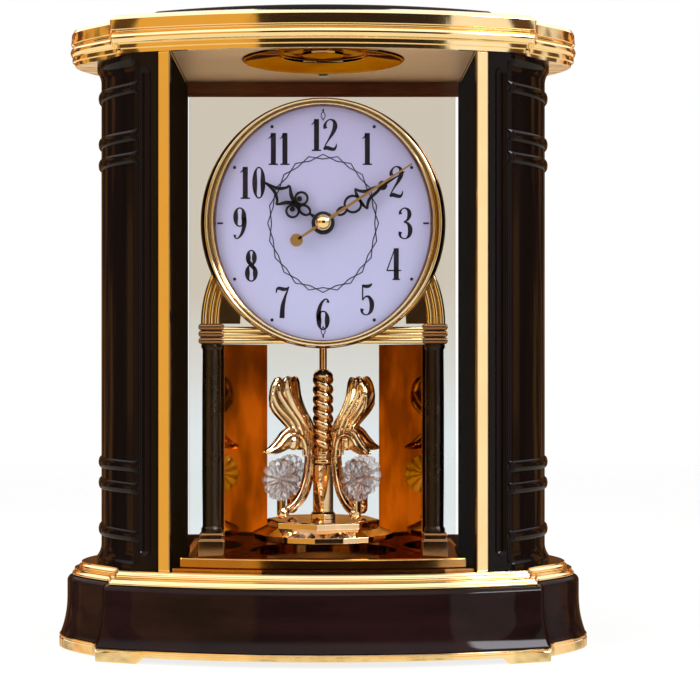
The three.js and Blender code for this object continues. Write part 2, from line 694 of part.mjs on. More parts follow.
function rail(outerZ, innerZ, direction) {
  const outline = [
    new THREE.Vector2(RAIL_FRONT_Y, outerZ),
    new THREE.Vector2(PILASTER_REAR_Y, outerZ),
    new THREE.Vector2(PILASTER_REAR_Y, innerZ),
    new THREE.Vector2(DOOR_FRONT_Y - GAP, innerZ),
    new THREE.Vector2(DOOR_FRONT_Y - GAP, innerZ + direction * RAIL_LIP),
    new THREE.Vector2(RAIL_FRONT_Y + RAIL_CHAMFER, innerZ + direction * RAIL_LIP),
    new THREE.Vector2(RAIL_FRONT_Y, innerZ + direction * (RAIL_LIP - RAIL_CHAMFER)),
  ];
  const ordered = direction > 0 ? outline : outline.reverse();
  const left = ordered.map((point) => new THREE.Vector3(-GLASS_HALF_WIDTH, point.x, point.y));
  const right = ordered.map((point) => new THREE.Vector3(GLASS_HALF_WIDTH, point.x, point.y));
  const lowZ = Math.min(outerZ, innerZ);
  const highZ = Math.max(outerZ, innerZ);
  const hole = post(HINGE_X, HINGE_Y, PIN_RADIUS + GAP, lowZ + 0.5, highZ + 1, 12);
  const upturned = post(HINGE_X, HINGE_Y, PIN_RADIUS + GAP, lowZ - 1, highZ - 0.5, 12);
  return cutBy(loft([left, right]), direction > 0 ? hole : upturned);
}

const bottomRailTop = DECK_Z + RAIL_HEIGHT;
const topRailBottom = SOFFIT_Z - RAIL_DROP;
piece('rear_bottom_rail', rail(DECK_Z, bottomRailTop, 1), BLACK());
piece('rear_top_rail', rail(SOFFIT_Z + POCKET_DEPTH, topRailBottom, -1), BLACK());

// Clear rear door with a turned pull; its round hinge edge runs on as a pin at each end

const DOOR_CLEARANCE = 0.6;
const DOOR_LEFT_X = -CHAMBER_HALF_WIDTH + DOOR_CLEARANCE;
const PULL_MARGIN = 9.5;
const PULL_X = PULL_MARGIN - CHAMBER_HALF_WIDTH;
const PULL_RADIUS = 3.8;
const PULL_LENGTH = 4.7;
const doorBottom = bottomRailTop + GAP;
const doorTop = topRailBottom - GAP;
const doorPanel = block(
  DOOR_LEFT_X, HINGE_X,
  DOOR_FRONT_Y, DOOR_FRONT_Y + DOOR_THICKNESS,
  doorBottom, doorTop,
);
const hingeEdge = post(HINGE_X, HINGE_Y, PIN_RADIUS, doorBottom - PIN_LENGTH, doorTop + PIN_LENGTH, 12);
piece('rear_door', joined(doorPanel, hingeEdge), CLEAR());

const doorPull = turnedForward([
  [0, 0],
  [PULL_RADIUS * 0.63, 0],
  [PULL_RADIUS * 0.5, PULL_LENGTH * 0.26],
  [PULL_RADIUS, PULL_LENGTH * 0.68],
  [PULL_RADIUS * 0.79, PULL_LENGTH * 0.96],
  [0, PULL_LENGTH],
], 12);
doorPull.rotateX(Math.PI);
doorPull.translate(PULL_X, DOOR_FRONT_Y + DOOR_THICKNESS, MID_HEIGHT);
piece('rear_door_pull', doorPull, GILT());

// Chamber base: a raised platform with a round recess under the pendulum

const PENDULUM_SETBACK = 50;
const PENDULUM_Y = FRONT_Y + PENDULUM_SETBACK;
const BASE_HEIGHT = 3.7;
const BASE_TOP = FLOOR_Z + BASE_HEIGHT;
const BASE_CHAMFER = 0.7;
const BASE_FRONT_MARGIN = 3.5;
const BASE_REAR_Y = EAR_REAR_Y;
const BASE_HALF_WIDTH = CHAMBER_HALF_WIDTH - BASE_FRONT_MARGIN;
const RECESS_RADIUS = 28.2;
const RECESS_DEPTH = 2;

const baseBow = bowPoints(CHAMBER_INSET + BASE_FRONT_MARGIN, 0, BASE_HALF_WIDTH, 5);
const basePlan = mirroredPlan([...baseBow, new THREE.Vector2(BASE_HALF_WIDTH, BASE_REAR_Y)]);
const basePlate = loft([
  atHeight(basePlan, FLOOR_Z),
  atHeight(basePlan, BASE_TOP - BASE_CHAMFER),
  atHeight(insetPlan(basePlan, BASE_CHAMFER), BASE_TOP),
]);
const recess = post(0, PENDULUM_Y, RECESS_RADIUS, BASE_TOP - RECESS_DEPTH, BASE_TOP + 1, 24);
piece('chamber_base', cutBy(basePlate, recess), GILT());

// Inner columns that carry the dial: block, shaft and ribbed capital on each side

const COLUMN_X = 41.7;
const COLUMN_SETBACK = 29;
const COLUMN_Y = FRONT_Y + COLUMN_SETBACK;
const COLUMN_BASE_WIDTH = 10;
const COLUMN_BASE_HEIGHT = 9;
const COLUMN_BASE_STEP = 0.5;
const SHAFT_RADIUS = 3.85;
const SHAFT_HEIGHT = 70.2;
const CAPITAL_WIDTH = 9.3;
const CAPITAL_HEIGHT = 7.6;
const SHAFT_BOTTOM = BASE_TOP + COLUMN_BASE_HEIGHT;
const CAPITAL_BOTTOM = SHAFT_BOTTOM + SHAFT_HEIGHT;
const CAPITAL_TOP = CAPITAL_BOTTOM + CAPITAL_HEIGHT;

function squareRing(x, y, halfSide, z) {
  return [
    new THREE.Vector3(x - halfSide, y - halfSide, z),
    new THREE.Vector3(x + halfSide, y - halfSide, z),
    new THREE.Vector3(x + halfSide, y + halfSide, z),
    new THREE.Vector3(x - halfSide, y + halfSide, z),
  ];
}

function columnBlock(x) {
  const half = COLUMN_BASE_WIDTH / 2;
  return loft([
    squareRing(x, COLUMN_Y, half, BASE_TOP),
    squareRing(x, COLUMN_Y, half, BASE_TOP + COLUMN_BASE_HEIGHT * 0.67),
    squareRing(x, COLUMN_Y, half - COLUMN_BASE_STEP, BASE_TOP + COLUMN_BASE_HEIGHT * 0.73),
    squareRing(x, COLUMN_Y, half - COLUMN_BASE_STEP, BASE_TOP + COLUMN_BASE_HEIGHT * 0.91),
    squareRing(x, COLUMN_Y, half - COLUMN_BASE_STEP * 1.8, SHAFT_BOTTOM),
  ]);
}

function capital(x) {
  const half = CAPITAL_WIDTH / 2;
  const rib = CAPITAL_HEIGHT / 3;
  const rings = [];
  for (let i = 0; i < 3; i += 1) {
    const bottom = CAPITAL_BOTTOM + i * rib;
    rings.push(squareRing(x, COLUMN_Y, half - 0.6, bottom));
    rings.push(squareRing(x, COLUMN_Y, half, bottom + rib * 0.3));
    rings.push(squareRing(x, COLUMN_Y, half, bottom + rib * 0.7));
  }
  rings.push(squareRing(x, COLUMN_Y, half - 0.4, CAPITAL_TOP));
  return loft(rings);
}

for (const [side, x] of [['left', -COLUMN_X], ['right', COLUMN_X]]) {
  piece(`${side}_column_base`, columnBlock(x), GILT());
  piece(`${side}_inner_column`, post(x, COLUMN_Y, SHAFT_RADIUS, SHAFT_BOTTOM, CAPITAL_BOTTOM, 16), BLACK());
  piece(`${side}_capital`, capital(x), GILT());
}

// Amber mirror panels that close in behind the pendulum

const MIRROR_FRONT_SETBACK = 34.5;
const MIRROR_REAR_SETBACK = 30;
const MIRROR_FRONT = new THREE.Vector2(37.2, FRONT_Y + MIRROR_FRONT_SETBACK);
const MIRROR_REAR = new THREE.Vector2(22.5, BACK_Y - MIRROR_REAR_SETBACK);
const MIRROR_THICKNESS = 1.8;
const MIRROR_TOP = CAPITAL_BOTTOM;

const along = MIRROR_REAR.clone().sub(MIRROR_FRONT).normalize();
const outwards = new THREE.Vector2(along.y, -along.x).multiplyScalar(MIRROR_THICKNESS);
const mirrorPlan = [
  MIRROR_FRONT,
  MIRROR_FRONT.clone().add(outwards),
  MIRROR_REAR.clone().add(outwards),
  MIRROR_REAR,
];
const rightMirror = prism(mirrorPlan, BASE_TOP, MIRROR_TOP);
piece('right_mirror_panel', rightMirror, AMBER());
piece('left_mirror_panel', mirrored(rightMirror), AMBER());

// Dial group: ellipses about one centre, measured from the front of the bezel backwards

const DIAL_Z = 161.5;
const BEZEL_SETBACK = 20;
const BEZEL_DEPTH = 5.5;
const BEZEL_FRONT_Y = FRONT_Y + BEZEL_SETBACK;
const DIAL_FRONT_Y = BEZEL_FRONT_Y + BEZEL_DEPTH;
const DIAL_THICKNESS = 1.5;
const CARRIER_FRONT_Y = DIAL_FRONT_Y + DIAL_THICKNESS;
const OPENING = new THREE.Vector2(39.8, 43.35);
const BEZEL_OUTER = new THREE.Vector2(45.45, 46.55);
const DIAL_SHARE = 0.25;
const REBATE_SHARE = 0.33;
const ELLIPSE_SEGMENTS = 40;

function ellipsePoint(share, angle) {
  const radii = OPENING.clone().lerp(BEZEL_OUTER, share);
  return new THREE.Vector2(radii.x * Math.cos(angle), DIAL_Z + radii.y * Math.sin(angle));
}

function ellipseShape(radiusX, radiusZ) {
  return new THREE.Shape().absellipse(0, DIAL_Z, radiusX, radiusZ, 0, Math.PI * 2);
}

// A ring swept round the dial from a closed profile of shares of the rim and depths.
function ellipticalRing(profile) {
  const positions = [];
  const index = [];
  const count = profile.length;
  for (let i = 0; i < ELLIPSE_SEGMENTS; i += 1) {
    const angle = 2 * Math.PI * i / ELLIPSE_SEGMENTS;
    for (const [share, y] of profile) {
      const point = ellipsePoint(share, angle);
      positions.push(point.x, y, point.y);
    }
    for (let j = 0; j < count; j += 1) {
      const a = i * count + j;
      const b = i * count + (j + 1) % count;
      const ahead = ((i + 1) % ELLIPSE_SEGMENTS - i) * count;
      index.push(b, a, a + ahead, b, a + ahead, b + ahead);
    }
  }
  const geometry = new THREE.BufferGeometry();
  geometry.setAttribute('position', new THREE.Float32BufferAttribute(positions, 3));
  geometry.setIndex(index);
  return geometry;
}

const bezelProfile = [
  [1, CARRIER_FRONT_Y],
  [1, BEZEL_FRONT_Y + 3.6],
  [0.8, BEZEL_FRONT_Y + 0.9],
  [0.62, BEZEL_FRONT_Y],
  [0.44, BEZEL_FRONT_Y + 0.7],
  [0.36, BEZEL_FRONT_Y + 2],
  [0.2, BEZEL_FRONT_Y + 1.9],
  [0, BEZEL_FRONT_Y + 3.8],
  [0, DIAL_FRONT_Y - GAP],
  [REBATE_SHARE, DIAL_FRONT_Y - GAP],
  [REBATE_SHARE, CARRIER_FRONT_Y],
];
piece('dial_bezel', ellipticalRing(bezelProfile), GILT());

// Movement carried behind the dial, with its bushing through the dial and a battery bay behind

const BATTERY_RADIUS = 7.1;
const BATTERY_HALF_LENGTH = 24.7;
const BATTERY_DROP = 17.5;
const BATTERY_CAP_RADIUS = 2.7;
const BATTERY_CAP_HEIGHT = 1;
const CONTACT_THICKNESS = 1.6;
const CONTACT_HALF_HEIGHT = 5;
const BAY_WALL = 1.4;
const BAY_FLOOR = 2.1;
const BAY_HALF_LENGTH = BATTERY_HALF_LENGTH + GAP + CONTACT_THICKNESS;
const BAY_HALF_HEIGHT = BATTERY_RADIUS + 0.9;
const MOVEMENT_HALF = BAY_HALF_LENGTH + BAY_WALL;
const MOVEMENT_DEPTH = 17.5;
const MOVEMENT_BACK_Y = CARRIER_FRONT_Y + MOVEMENT_DEPTH;
const BUSHING_RADIUS = 3.8;
const BUSHING_REACH = 1.6;
const BUSHING_END_Y = DIAL_FRONT_Y - BUSHING_REACH;
const BATTERY_Z = DIAL_Z - BATTERY_DROP;
const BAY_FLOOR_Y = CARRIER_FRONT_Y + BAY_FLOOR;
const BATTERY_Y = BAY_FLOOR_Y + GAP + BATTERY_RADIUS;
const KNOB_RISE = 14.5;
const KNOB_Z = DIAL_Z + KNOB_RISE;
const NUT_RADIUS = 6.2;
const NUT_HEIGHT = 1.4;
const NUT_CLEARANCE = 0.15;

function dialPost(radius, frontY, backY, x, z, segments) {
  const geometry = new THREE.CylinderGeometry(radius, radius, backY - frontY, segments);
  geometry.translate(x, (frontY + backY) / 2, z);
  return geometry;
}

const dialRadii = OPENING.clone().lerp(BEZEL_OUTER, DIAL_SHARE);
const dialDisc = uprightPlate(ellipseShape(dialRadii.x, dialRadii.y), DIAL_FRONT_Y, CARRIER_FRONT_Y, 20);
const bushingHole = dialPost(BUSHING_RADIUS + GAP, DIAL_FRONT_Y - 1, CARRIER_FRONT_Y + 1, 0, DIAL_Z, 14);
piece('dial_plate', cutBy(dialDisc, bushingHole), finish(0xb4aed0, 0.42, 0));

const movementBody = block(
  -MOVEMENT_HALF, MOVEMENT_HALF,
  CARRIER_FRONT_Y, MOVEMENT_BACK_Y,
  DIAL_Z - MOVEMENT_HALF, DIAL_Z + MOVEMENT_HALF,
);
const bushing = dialPost(BUSHING_RADIUS, BUSHING_END_Y, CARRIER_FRONT_Y + 2, 0, DIAL_Z, 14);
const batteryBay = block(
  -BAY_HALF_LENGTH, BAY_HALF_LENGTH,
  BAY_FLOOR_Y, MOVEMENT_BACK_Y + 1,
  BATTERY_Z - BAY_HALF_HEIGHT, BATTERY_Z + BAY_HALF_HEIGHT,
);
piece('movement_case', cutBy(joined(movementBody, bushing), batteryBay), DARK_PLASTIC());

const nutBlank = new THREE.CylinderGeometry(NUT_RADIUS, NUT_RADIUS, NUT_HEIGHT, 6);
nutBlank.translate(0, DIAL_FRONT_Y - NUT_HEIGHT / 2, DIAL_Z);
const nutBore = dialPost(BUSHING_RADIUS + NUT_CLEARANCE, DIAL_FRONT_Y - 3, DIAL_FRONT_Y + 1, 0, DIAL_Z, 14);
piece('fixing_nut', cutBy(nutBlank, nutBore), STEEL());

const battery = turned([
  [0, -BATTERY_HALF_LENGTH],
  [BATTERY_RADIUS, -BATTERY_HALF_LENGTH],
  [BATTERY_RADIUS, BATTERY_HALF_LENGTH - BATTERY_CAP_HEIGHT * 1.6],
  [BATTERY_RADIUS * 0.92, BATTERY_HALF_LENGTH - BATTERY_CAP_HEIGHT],
  [BATTERY_CAP_RADIUS, BATTERY_HALF_LENGTH - BATTERY_CAP_HEIGHT],
  [BATTERY_CAP_RADIUS, BATTERY_HALF_LENGTH],
  [0, BATTERY_HALF_LENGTH],
], 14);
battery.rotateY(Math.PI / 2);
battery.translate(0, BATTERY_Y, BATTERY_Z);
piece('battery', battery, finish(0x30343a, 0.3, 0.6));

function contact(innerX, outerX) {
  return block(
    innerX, outerX,
    BAY_FLOOR_Y, MOVEMENT_BACK_Y - 1,
    BATTERY_Z - CONTACT_HALF_HEIGHT, BATTERY_Z + CONTACT_HALF_HEIGHT,
  );
}

piece('positive_contact', contact(BATTERY_HALF_LENGTH + GAP, BAY_HALF_LENGTH), STEEL());
piece('negative_contact', contact(-BAY_HALF_LENGTH, -BATTERY_HALF_LENGTH - GAP), STEEL());

// Arch plate: a fluted arch standing on the capitals, widened into the carrier of the dial

const ARCH_OUTER = 45.6;
const ARCH_BAND = 7;
const ARCH_PLATE = 3.5;
const ARCH_BACK_Y = CARRIER_FRONT_Y + ARCH_PLATE;
const FLUTE_COUNT = 3;
const CARRIER_RADII = new THREE.Vector2(MOVEMENT_HALF * 1.557, MOVEMENT_HALF * 1.593);

function archRing(outer, inner) {
  const ring = new THREE.Shape().absarc(0, CAPITAL_TOP, outer, 0, Math.PI * 2);
  ring.holes.push(new THREE.Path().absarc(0, CAPITAL_TOP, inner, 0, Math.PI * 2));
  return ring;
}

const halfDisc = new THREE.Shape().absarc(0, CAPITAL_TOP, ARCH_OUTER, 0, Math.PI);
const archDisc = uprightPlate(halfDisc, CARRIER_FRONT_Y, ARCH_BACK_Y, 20);
const carrierDisc = uprightPlate(
  ellipseShape(CARRIER_RADII.x, CARRIER_RADII.y),
  CARRIER_FRONT_Y,
  ARCH_BACK_Y,
  18,
);
const aboveCapitals = block(-60, 60, CARRIER_FRONT_Y - 5, ARCH_BACK_Y + 5, CAPITAL_TOP, DIAL_Z + 60);
const window = block(
  -MOVEMENT_HALF - GAP, MOVEMENT_HALF + GAP,
  CARRIER_FRONT_Y - 2, ARCH_BACK_Y + 2,
  DIAL_Z - MOVEMENT_HALF - GAP, DIAL_Z + MOVEMENT_HALF + GAP,
);
const fluteStep = ARCH_BAND / FLUTE_COUNT;
const archGrooves = [];
for (let i = 0; i < FLUTE_COUNT; i += 1) {
  const outer = ARCH_OUTER - fluteStep * (i + 0.62);
  const groove = archRing(outer + 0.55, outer - 0.55);
  archGrooves.push(uprightPlate(groove, CARRIER_FRONT_Y - 1, CARRIER_FRONT_Y + 0.9, 20));
}
const archBlank = keptWithin(joined(archDisc, carrierDisc), aboveCapitals);
piece('dial_arch', cutBy(archBlank, window, ...archGrooves), GILT());

// Reeded lintel between the capitals, three reeds high

const LINTEL_HEIGHT = 6.3;
const LINTEL_TOP = CAPITAL_TOP - 1.1;
const LINTEL_FRONT_Y = CARRIER_FRONT_Y + GAP;
const LINTEL_BACK_Y = ARCH_BACK_Y - GAP;
const REEDS = 3;
const lintelHalf = COLUMN_X - CAPITAL_WIDTH / 2;

function lintelProfile() {
  const reed = LINTEL_HEIGHT / REEDS;
  const points = [];
  for (let i = 0; i < REEDS; i += 1) {
    const bottom = LINTEL_TOP - LINTEL_HEIGHT + i * reed;
    for (let j = 0; j < 4; j += 1) {
      const angle = Math.PI * j / 4;
      points.push([LINTEL_FRONT_Y + 0.8 * (1 - Math.sin(angle)), bottom + reed * (1 - Math.cos(angle)) / 2]);
    }
  }
  points.push([LINTEL_FRONT_Y + 0.8, LINTEL_TOP]);
  points.push([LINTEL_BACK_Y, LINTEL_TOP]);
  points.push([LINTEL_BACK_Y, LINTEL_TOP - LINTEL_HEIGHT]);
  return points.reverse();
}

const lintel = loft([-lintelHalf, lintelHalf].map((x) => (
  lintelProfile().map(([y, z]) => new THREE.Vector3(x, y, z))
)));
piece('reeded_lintel', lintel, GILT());

// Dial housing: a cup behind the arch plate that covers the back of the dial round the movement

const HOUSING_RADII = new THREE.Vector2(MOVEMENT_HALF * 1.5, MOVEMENT_HALF * 1.536);
const HOUSING_WALL = 1.8;
const HOUSING_FRONT_Y = ARCH_BACK_Y;
const HOUSING_BACK_Y = MOVEMENT_BACK_Y;

const housingBlank = uprightPlate(
  ellipseShape(HOUSING_RADII.x, HOUSING_RADII.y),
  HOUSING_FRONT_Y,
  HOUSING_BACK_Y,
  16,
);
const housingHollow = uprightPlate(
  ellipseShape(HOUSING_RADII.x - HOUSING_WALL, HOUSING_RADII.y - HOUSING_WALL),
  HOUSING_FRONT_Y - 1,
  HOUSING_BACK_Y - HOUSING_WALL,
  16,
);
const housingWindow = block(
  -MOVEMENT_HALF - GAP, MOVEMENT_HALF + GAP,
  HOUSING_BACK_Y - 3, HOUSING_BACK_Y + 2,
  DIAL_Z - MOVEMENT_HALF - GAP, DIAL_Z + MOVEMENT_HALF + GAP,
);
piece('dial_housing', cutBy(housingBlank, housingHollow, housingWindow), DARK_PLASTIC());

// Pendulum drive under the movement, with its output boss over the pendulum's axis

const DRIVE_HALF_WIDTH = 15;
const DRIVE_OVERHANG = 6.5;
const DRIVE_BACK_Y = PENDULUM_Y + DRIVE_OVERHANG;
const DRIVE_BOTTOM = 120;
const DRIVE_TOP = 132.5;
const DRIVE_BOSS_RADIUS = 2.4;
const DRIVE_BOSS_LENGTH = 1.6;
const DRIVE_BOSS_END = DRIVE_BOTTOM - DRIVE_BOSS_LENGTH;

const driveBox = block(
  -DRIVE_HALF_WIDTH, DRIVE_HALF_WIDTH,
  HOUSING_BACK_Y, DRIVE_BACK_Y,
  DRIVE_BOTTOM, DRIVE_TOP,
);
const driveBoss = post(0, PENDULUM_Y, DRIVE_BOSS_RADIUS, DRIVE_BOSS_END, DRIVE_BOTTOM + 1);
piece('pendulum_drive', joined(driveBox, driveBoss), DARK_PLASTIC());

// Hands, drawn pointing at twelve and then turned to the time shown

const HOUR_ANGLE = 304.8;
const MINUTE_ANGLE = 58;
const SECOND_ANGLE = 56.5;
const HAND_THICKNESS = 0.5;
const HUB_DEPTH = 0.8;
const HOUR_Y = BUSHING_END_Y - GAP;
const MINUTE_Y = HOUR_Y - HUB_DEPTH - GAP;
const SECOND_Y = MINUTE_Y - HUB_DEPTH - GAP;
const CAP_Y = SECOND_Y - HUB_DEPTH;
const SECOND_LENGTH = 39.3;
const SECOND_TAIL = 11.8;
const SECOND_DISC_RADIUS = 2.4;
const SECOND_HUB_RADIUS = 2;

function handBlade(points) {
  return uprightPlate(shapeOf(points.map(([x, z]) => new THREE.Vector2(x, z))), -HAND_THICKNESS, 0);
}

function handRing(x, z, radiusX, radiusZ, stroke) {
  const outer = new THREE.Shape().absellipse(x, z, radiusX, radiusZ, 0, Math.PI * 2);
  const inner = new THREE.Path();
  inner.absellipse(x, z, radiusX - stroke, radiusZ - stroke, 0, Math.PI * 2);
  outer.holes.push(inner);
  return uprightPlate(outer, -HAND_THICKNESS, 0, 7);
}

function handHub(radius, depth) {
  const hub = new THREE.CylinderGeometry(radius, radius, depth, 14);
  hub.translate(0, -depth / 2, 0);
  return hub;
}

// A spade: two barbs, a hollow middle and a drawn-out point.
function spade(baseZ, barbZ, barbX, shoulderZ, tipZ, stroke) {
  const outer = handBlade([
    [0, baseZ],
    [barbX * 0.45, barbZ - 0.9],
    [barbX, barbZ - 0.5],
    [barbX * 0.5, barbZ + (shoulderZ - barbZ) * 0.4],
    [stroke * 0.9, shoulderZ],
    [0.25, tipZ],
    [-0.25, tipZ],
    [-stroke * 0.9, shoulderZ],
    [-barbX * 0.5, barbZ + (shoulderZ - barbZ) * 0.4],
    [-barbX, barbZ - 0.5],
    [-barbX * 0.45, barbZ - 0.9],
  ]);
  const hole = uprightPlate(shapeOf([
    new THREE.Vector2(0, baseZ + stroke * 1.6),
    new THREE.Vector2(barbX * 0.42, barbZ - 0.2),
    new THREE.Vector2(0, shoulderZ - stroke * 2.2),
    new THREE.Vector2(-barbX * 0.42, barbZ - 0.2),
  ]), -HAND_THICKNESS - 1, 1);
  return cutBy(outer, hole);
}

function hourHand() {
  const root = handBlade([[-0.7, 2], [0.7, 2], [0.5, 6.6], [-0.5, 6.6]]);
  const neck = handBlade([[-0.6, 10], [0.6, 10], [0.6, 14], [-0.6, 14]]);
  return joined(
    handHub(4.3, HUB_DEPTH),
    root,
    handRing(0, 8.3, 1.9, 2.4, 0.7),
    neck,
    handRing(-3, 11.8, 2.6, 2.6, 0.7),
    handRing(3, 11.8, 2.6, 2.6, 0.7),
    spade(12.6, 18.2, 4.2, 21.6, 26.4, 0.9),
  );
}

function minuteHand() {
  const root = handBlade([[-0.7, 2], [0.7, 2], [0.4, 6.4], [-0.4, 6.4]]);
  const point = handBlade([[-0.6, 22], [0.6, 22], [0.2, 35.6], [-0.2, 35.6]]);
  return joined(
    handHub(3.9, HUB_DEPTH),
    root,
    handRing(0, 8.1, 1.4, 2, 0.55),
    handRing(0, 13, 3.5, 3.5, 0.7),
    spade(15.6, 17.4, 4.3, 22.9, 25, 0.75),
    handRing(0, 26, 1.9, 1.9, 1.2),
    point,
  );
}

function secondHand() {
  const halfWidth = SECOND_HUB_RADIUS / 4;
  const blade = handBlade([
    [-halfWidth, -SECOND_TAIL],
    [halfWidth, -SECOND_TAIL],
    [halfWidth, 0],
    [halfWidth * 0.44, SECOND_LENGTH],
    [-halfWidth * 0.44, SECOND_LENGTH],
    [-halfWidth, 0],
  ]);
  const disc = new THREE.Shape().absarc(0, -SECOND_TAIL, SECOND_DISC_RADIUS, 0, Math.PI * 2);
  return joined(handHub(SECOND_HUB_RADIUS, HAND_THICKNESS), blade, uprightPlate(disc, -HAND_THICKNESS, 0, 7));
}

function placedHand(name, geometry, y, angle, material) {
  const hand = piece(name, geometry, material);
  hand.position.set(0, y, DIAL_Z);
  hand.rotation.y = THREE.MathUtils.degToRad(angle);
  return hand;
}

placedHand('hour_hand', hourHand(), HOUR_Y, HOUR_ANGLE, HAND_BLACK());
placedHand('minute_hand', minuteHand(), MINUTE_Y, MINUTE_ANGLE, HAND_BLACK());
placedHand('second_hand', secondHand(), SECOND_Y, SECOND_ANGLE, finish(0x7a5a34, 0.35, 0.9));

const hubCap = turnedForward([
  [0, 0],
  [2.6, 0],
  [2.7, 0.5],
  [2.3, 1.6],
  [1.3, 2.3],
  [0, 2.55],
], 14);
piece('hub_cap', hubCap, GILT()).position.set(0, CAP_Y, DIAL_Z);

// Time-setting knob on the back of the movement

const KNOB_RADIUS = 6;
const KNOB_DEPTH = 4.5;
const KNOB_FLUTES = 10;

function settingKnob() {
  const outline = new THREE.Shape();
  const steps = KNOB_FLUTES * 4;
  for (let i = 0; i < steps; i += 1) {
    const angle = 2 * Math.PI * i / steps;
    const radius = KNOB_RADIUS - 0.4 + 0.4 * Math.cos(angle * KNOB_FLUTES);
    const point = [radius * Math.cos(angle), radius * Math.sin(angle)];
    if (i === 0) {
      outline.moveTo(...point);
    } else {
      outline.lineTo(...point);
    }
  }
  return uprightPlate(outline, 0, KNOB_DEPTH);
}

piece('setting_knob', settingKnob(), DARK_PLASTIC()).position.set(0, MOVEMENT_BACK_Y + GAP, KNOB_Z);

// Rotating pendulum: everything below hangs from the rod and turns about the pendulum's axis

const PENDULUM_TURN = -51.5;
const PLATE_BOTTOM = 41.8;
const PLATE_RIM = 44.4;
const PLATE_SHOULDER = 47;
const PLATE_TOP = 49.5;
const PLATE_RADIUS = 27.2;
const TIER_RADIUS = 21.8;
const HEX_TOP = 70.3;
const HEX_RADIUS = 4.5;
const COLLAR_TOP = 75.4;
const TWIST_TOP = 105;
const TWIST_RADIUS = 4.1;
const TWIST_LEAD = 7.6;
const TWIST_STEPS_PER_LEAD = 8;
const DOME_TOP = 107;
const ROD_RADIUS = 1.45;

const pendulum = new THREE.Group();
pendulum.position.set(0, PENDULUM_Y, 0);
pendulum.rotation.z = THREE.MathUtils.degToRad(PENDULUM_TURN);
clock.add(pendulum);

// A ring of points whose odd corners may be drawn in to the middle of a side.
function facetRing(radius, oddRadius, z, sides) {
  const ring = [];
  for (let i = 0; i < sides; i += 1) {
    const angle = 2 * Math.PI * i / sides;
    const reach = i % 2 === 0 ? radius : oddRadius;
    ring.push(new THREE.Vector3(reach * Math.cos(angle), reach * Math.sin(angle), z));
  }
  return ring;
}

const octagonMiddle = TIER_RADIUS * Math.cos(Math.PI / 8);
const pendulumPlate = loft([
  facetRing(PLATE_RADIUS - 0.8, PLATE_RADIUS - 0.8, PLATE_BOTTOM, 16),
  facetRing(PLATE_RADIUS, PLATE_RADIUS, PLATE_BOTTOM + 0.6, 16),
  facetRing(PLATE_RADIUS, PLATE_RADIUS, PLATE_RIM, 16),
  facetRing(TIER_RADIUS, octagonMiddle, PLATE_SHOULDER, 16),
  facetRing(TIER_RADIUS, octagonMiddle, PLATE_TOP, 16),
]);
piece('pendulum_plate', pendulumPlate, GILT(), pendulum);

const hexColumn = loft([
  facetRing(HEX_RADIUS + 0.9, HEX_RADIUS + 0.9, PLATE_TOP, 6),
  facetRing(HEX_RADIUS + 0.9, HEX_RADIUS + 0.9, PLATE_TOP + 2, 6),
  facetRing(HEX_RADIUS, HEX_RADIUS, PLATE_TOP + 2.8, 6),
  facetRing(HEX_RADIUS, HEX_RADIUS, HEX_TOP, 6),
]);
piece('hex_column', hexColumn, GILT(), pendulum);

function roundRing(radius, z, points) {
  const ring = [];
  for (let i = 0; i < points; i += 1) {
    const angle = 2 * Math.PI * i / points;
    ring.push(new THREE.Vector3(radius * Math.cos(angle), radius * Math.sin(angle), z));
  }
  return ring;
}

// A two-strand rope section, turned on by one lead for each full turn.
function ropeRing(z, points) {
  const ring = [];
  const turn = 2 * Math.PI * (z - COLLAR_TOP) / TWIST_LEAD;
  for (let i = 0; i < points; i += 1) {
    const angle = 2 * Math.PI * i / points;
    const radius = TWIST_RADIUS - 1.1 * (1 - Math.abs(Math.cos(angle - turn)) ** 0.8);
    ring.push(new THREE.Vector3(radius * Math.cos(angle), radius * Math.sin(angle), z));
  }
  return ring;
}

function twistColumn() {
  const points = 8;
  const rings = [
    roundRing(HEX_RADIUS - 0.4, HEX_TOP, points),
    roundRing(HEX_RADIUS + 0.5, HEX_TOP + 0.9, points),
    roundRing(HEX_RADIUS + 0.5, HEX_TOP + 1.8, points),
    roundRing(HEX_RADIUS - 0.5, HEX_TOP + 2.7, points),
    roundRing(HEX_RADIUS - 0.5, COLLAR_TOP - 0.6, points),
  ];
  const steps = Math.round((TWIST_TOP - COLLAR_TOP) / TWIST_LEAD * TWIST_STEPS_PER_LEAD);
  for (let i = 0; i <= steps; i += 1) {
    rings.push(ropeRing(THREE.MathUtils.lerp(COLLAR_TOP, TWIST_TOP, i / steps), points));
  }
  rings.push(roundRing(TWIST_RADIUS - 0.9, TWIST_TOP + 0.9, points));
  rings.push(roundRing(ROD_RADIUS + 0.6, DOME_TOP, points));
  return loft(rings);
}

piece('twist_column', twistColumn(), GILT(), pendulum);

const rod = turned([
  [0, DOME_TOP],
  [ROD_RADIUS, DOME_TOP],
  [ROD_RADIUS, DRIVE_BOSS_END - 3.4],
  [2.3, DRIVE_BOSS_END - 2.8],
  [2.3, DRIVE_BOSS_END - GAP],
  [0, DRIVE_BOSS_END - GAP],
], 10);
piece('pendulum_rod', rod, GILT(), pendulum);

// Swans: each is one casting in its own radial plane, drawn by radius and height

const SWAN_COUNT = 4;
const WING_THICKNESS = 1.8;
const FOOT_BALL_RADIUS = 2.8;
const FOOT_BALL_PLACE = [19.6, PLATE_TOP + GAP + FOOT_BALL_RADIUS];

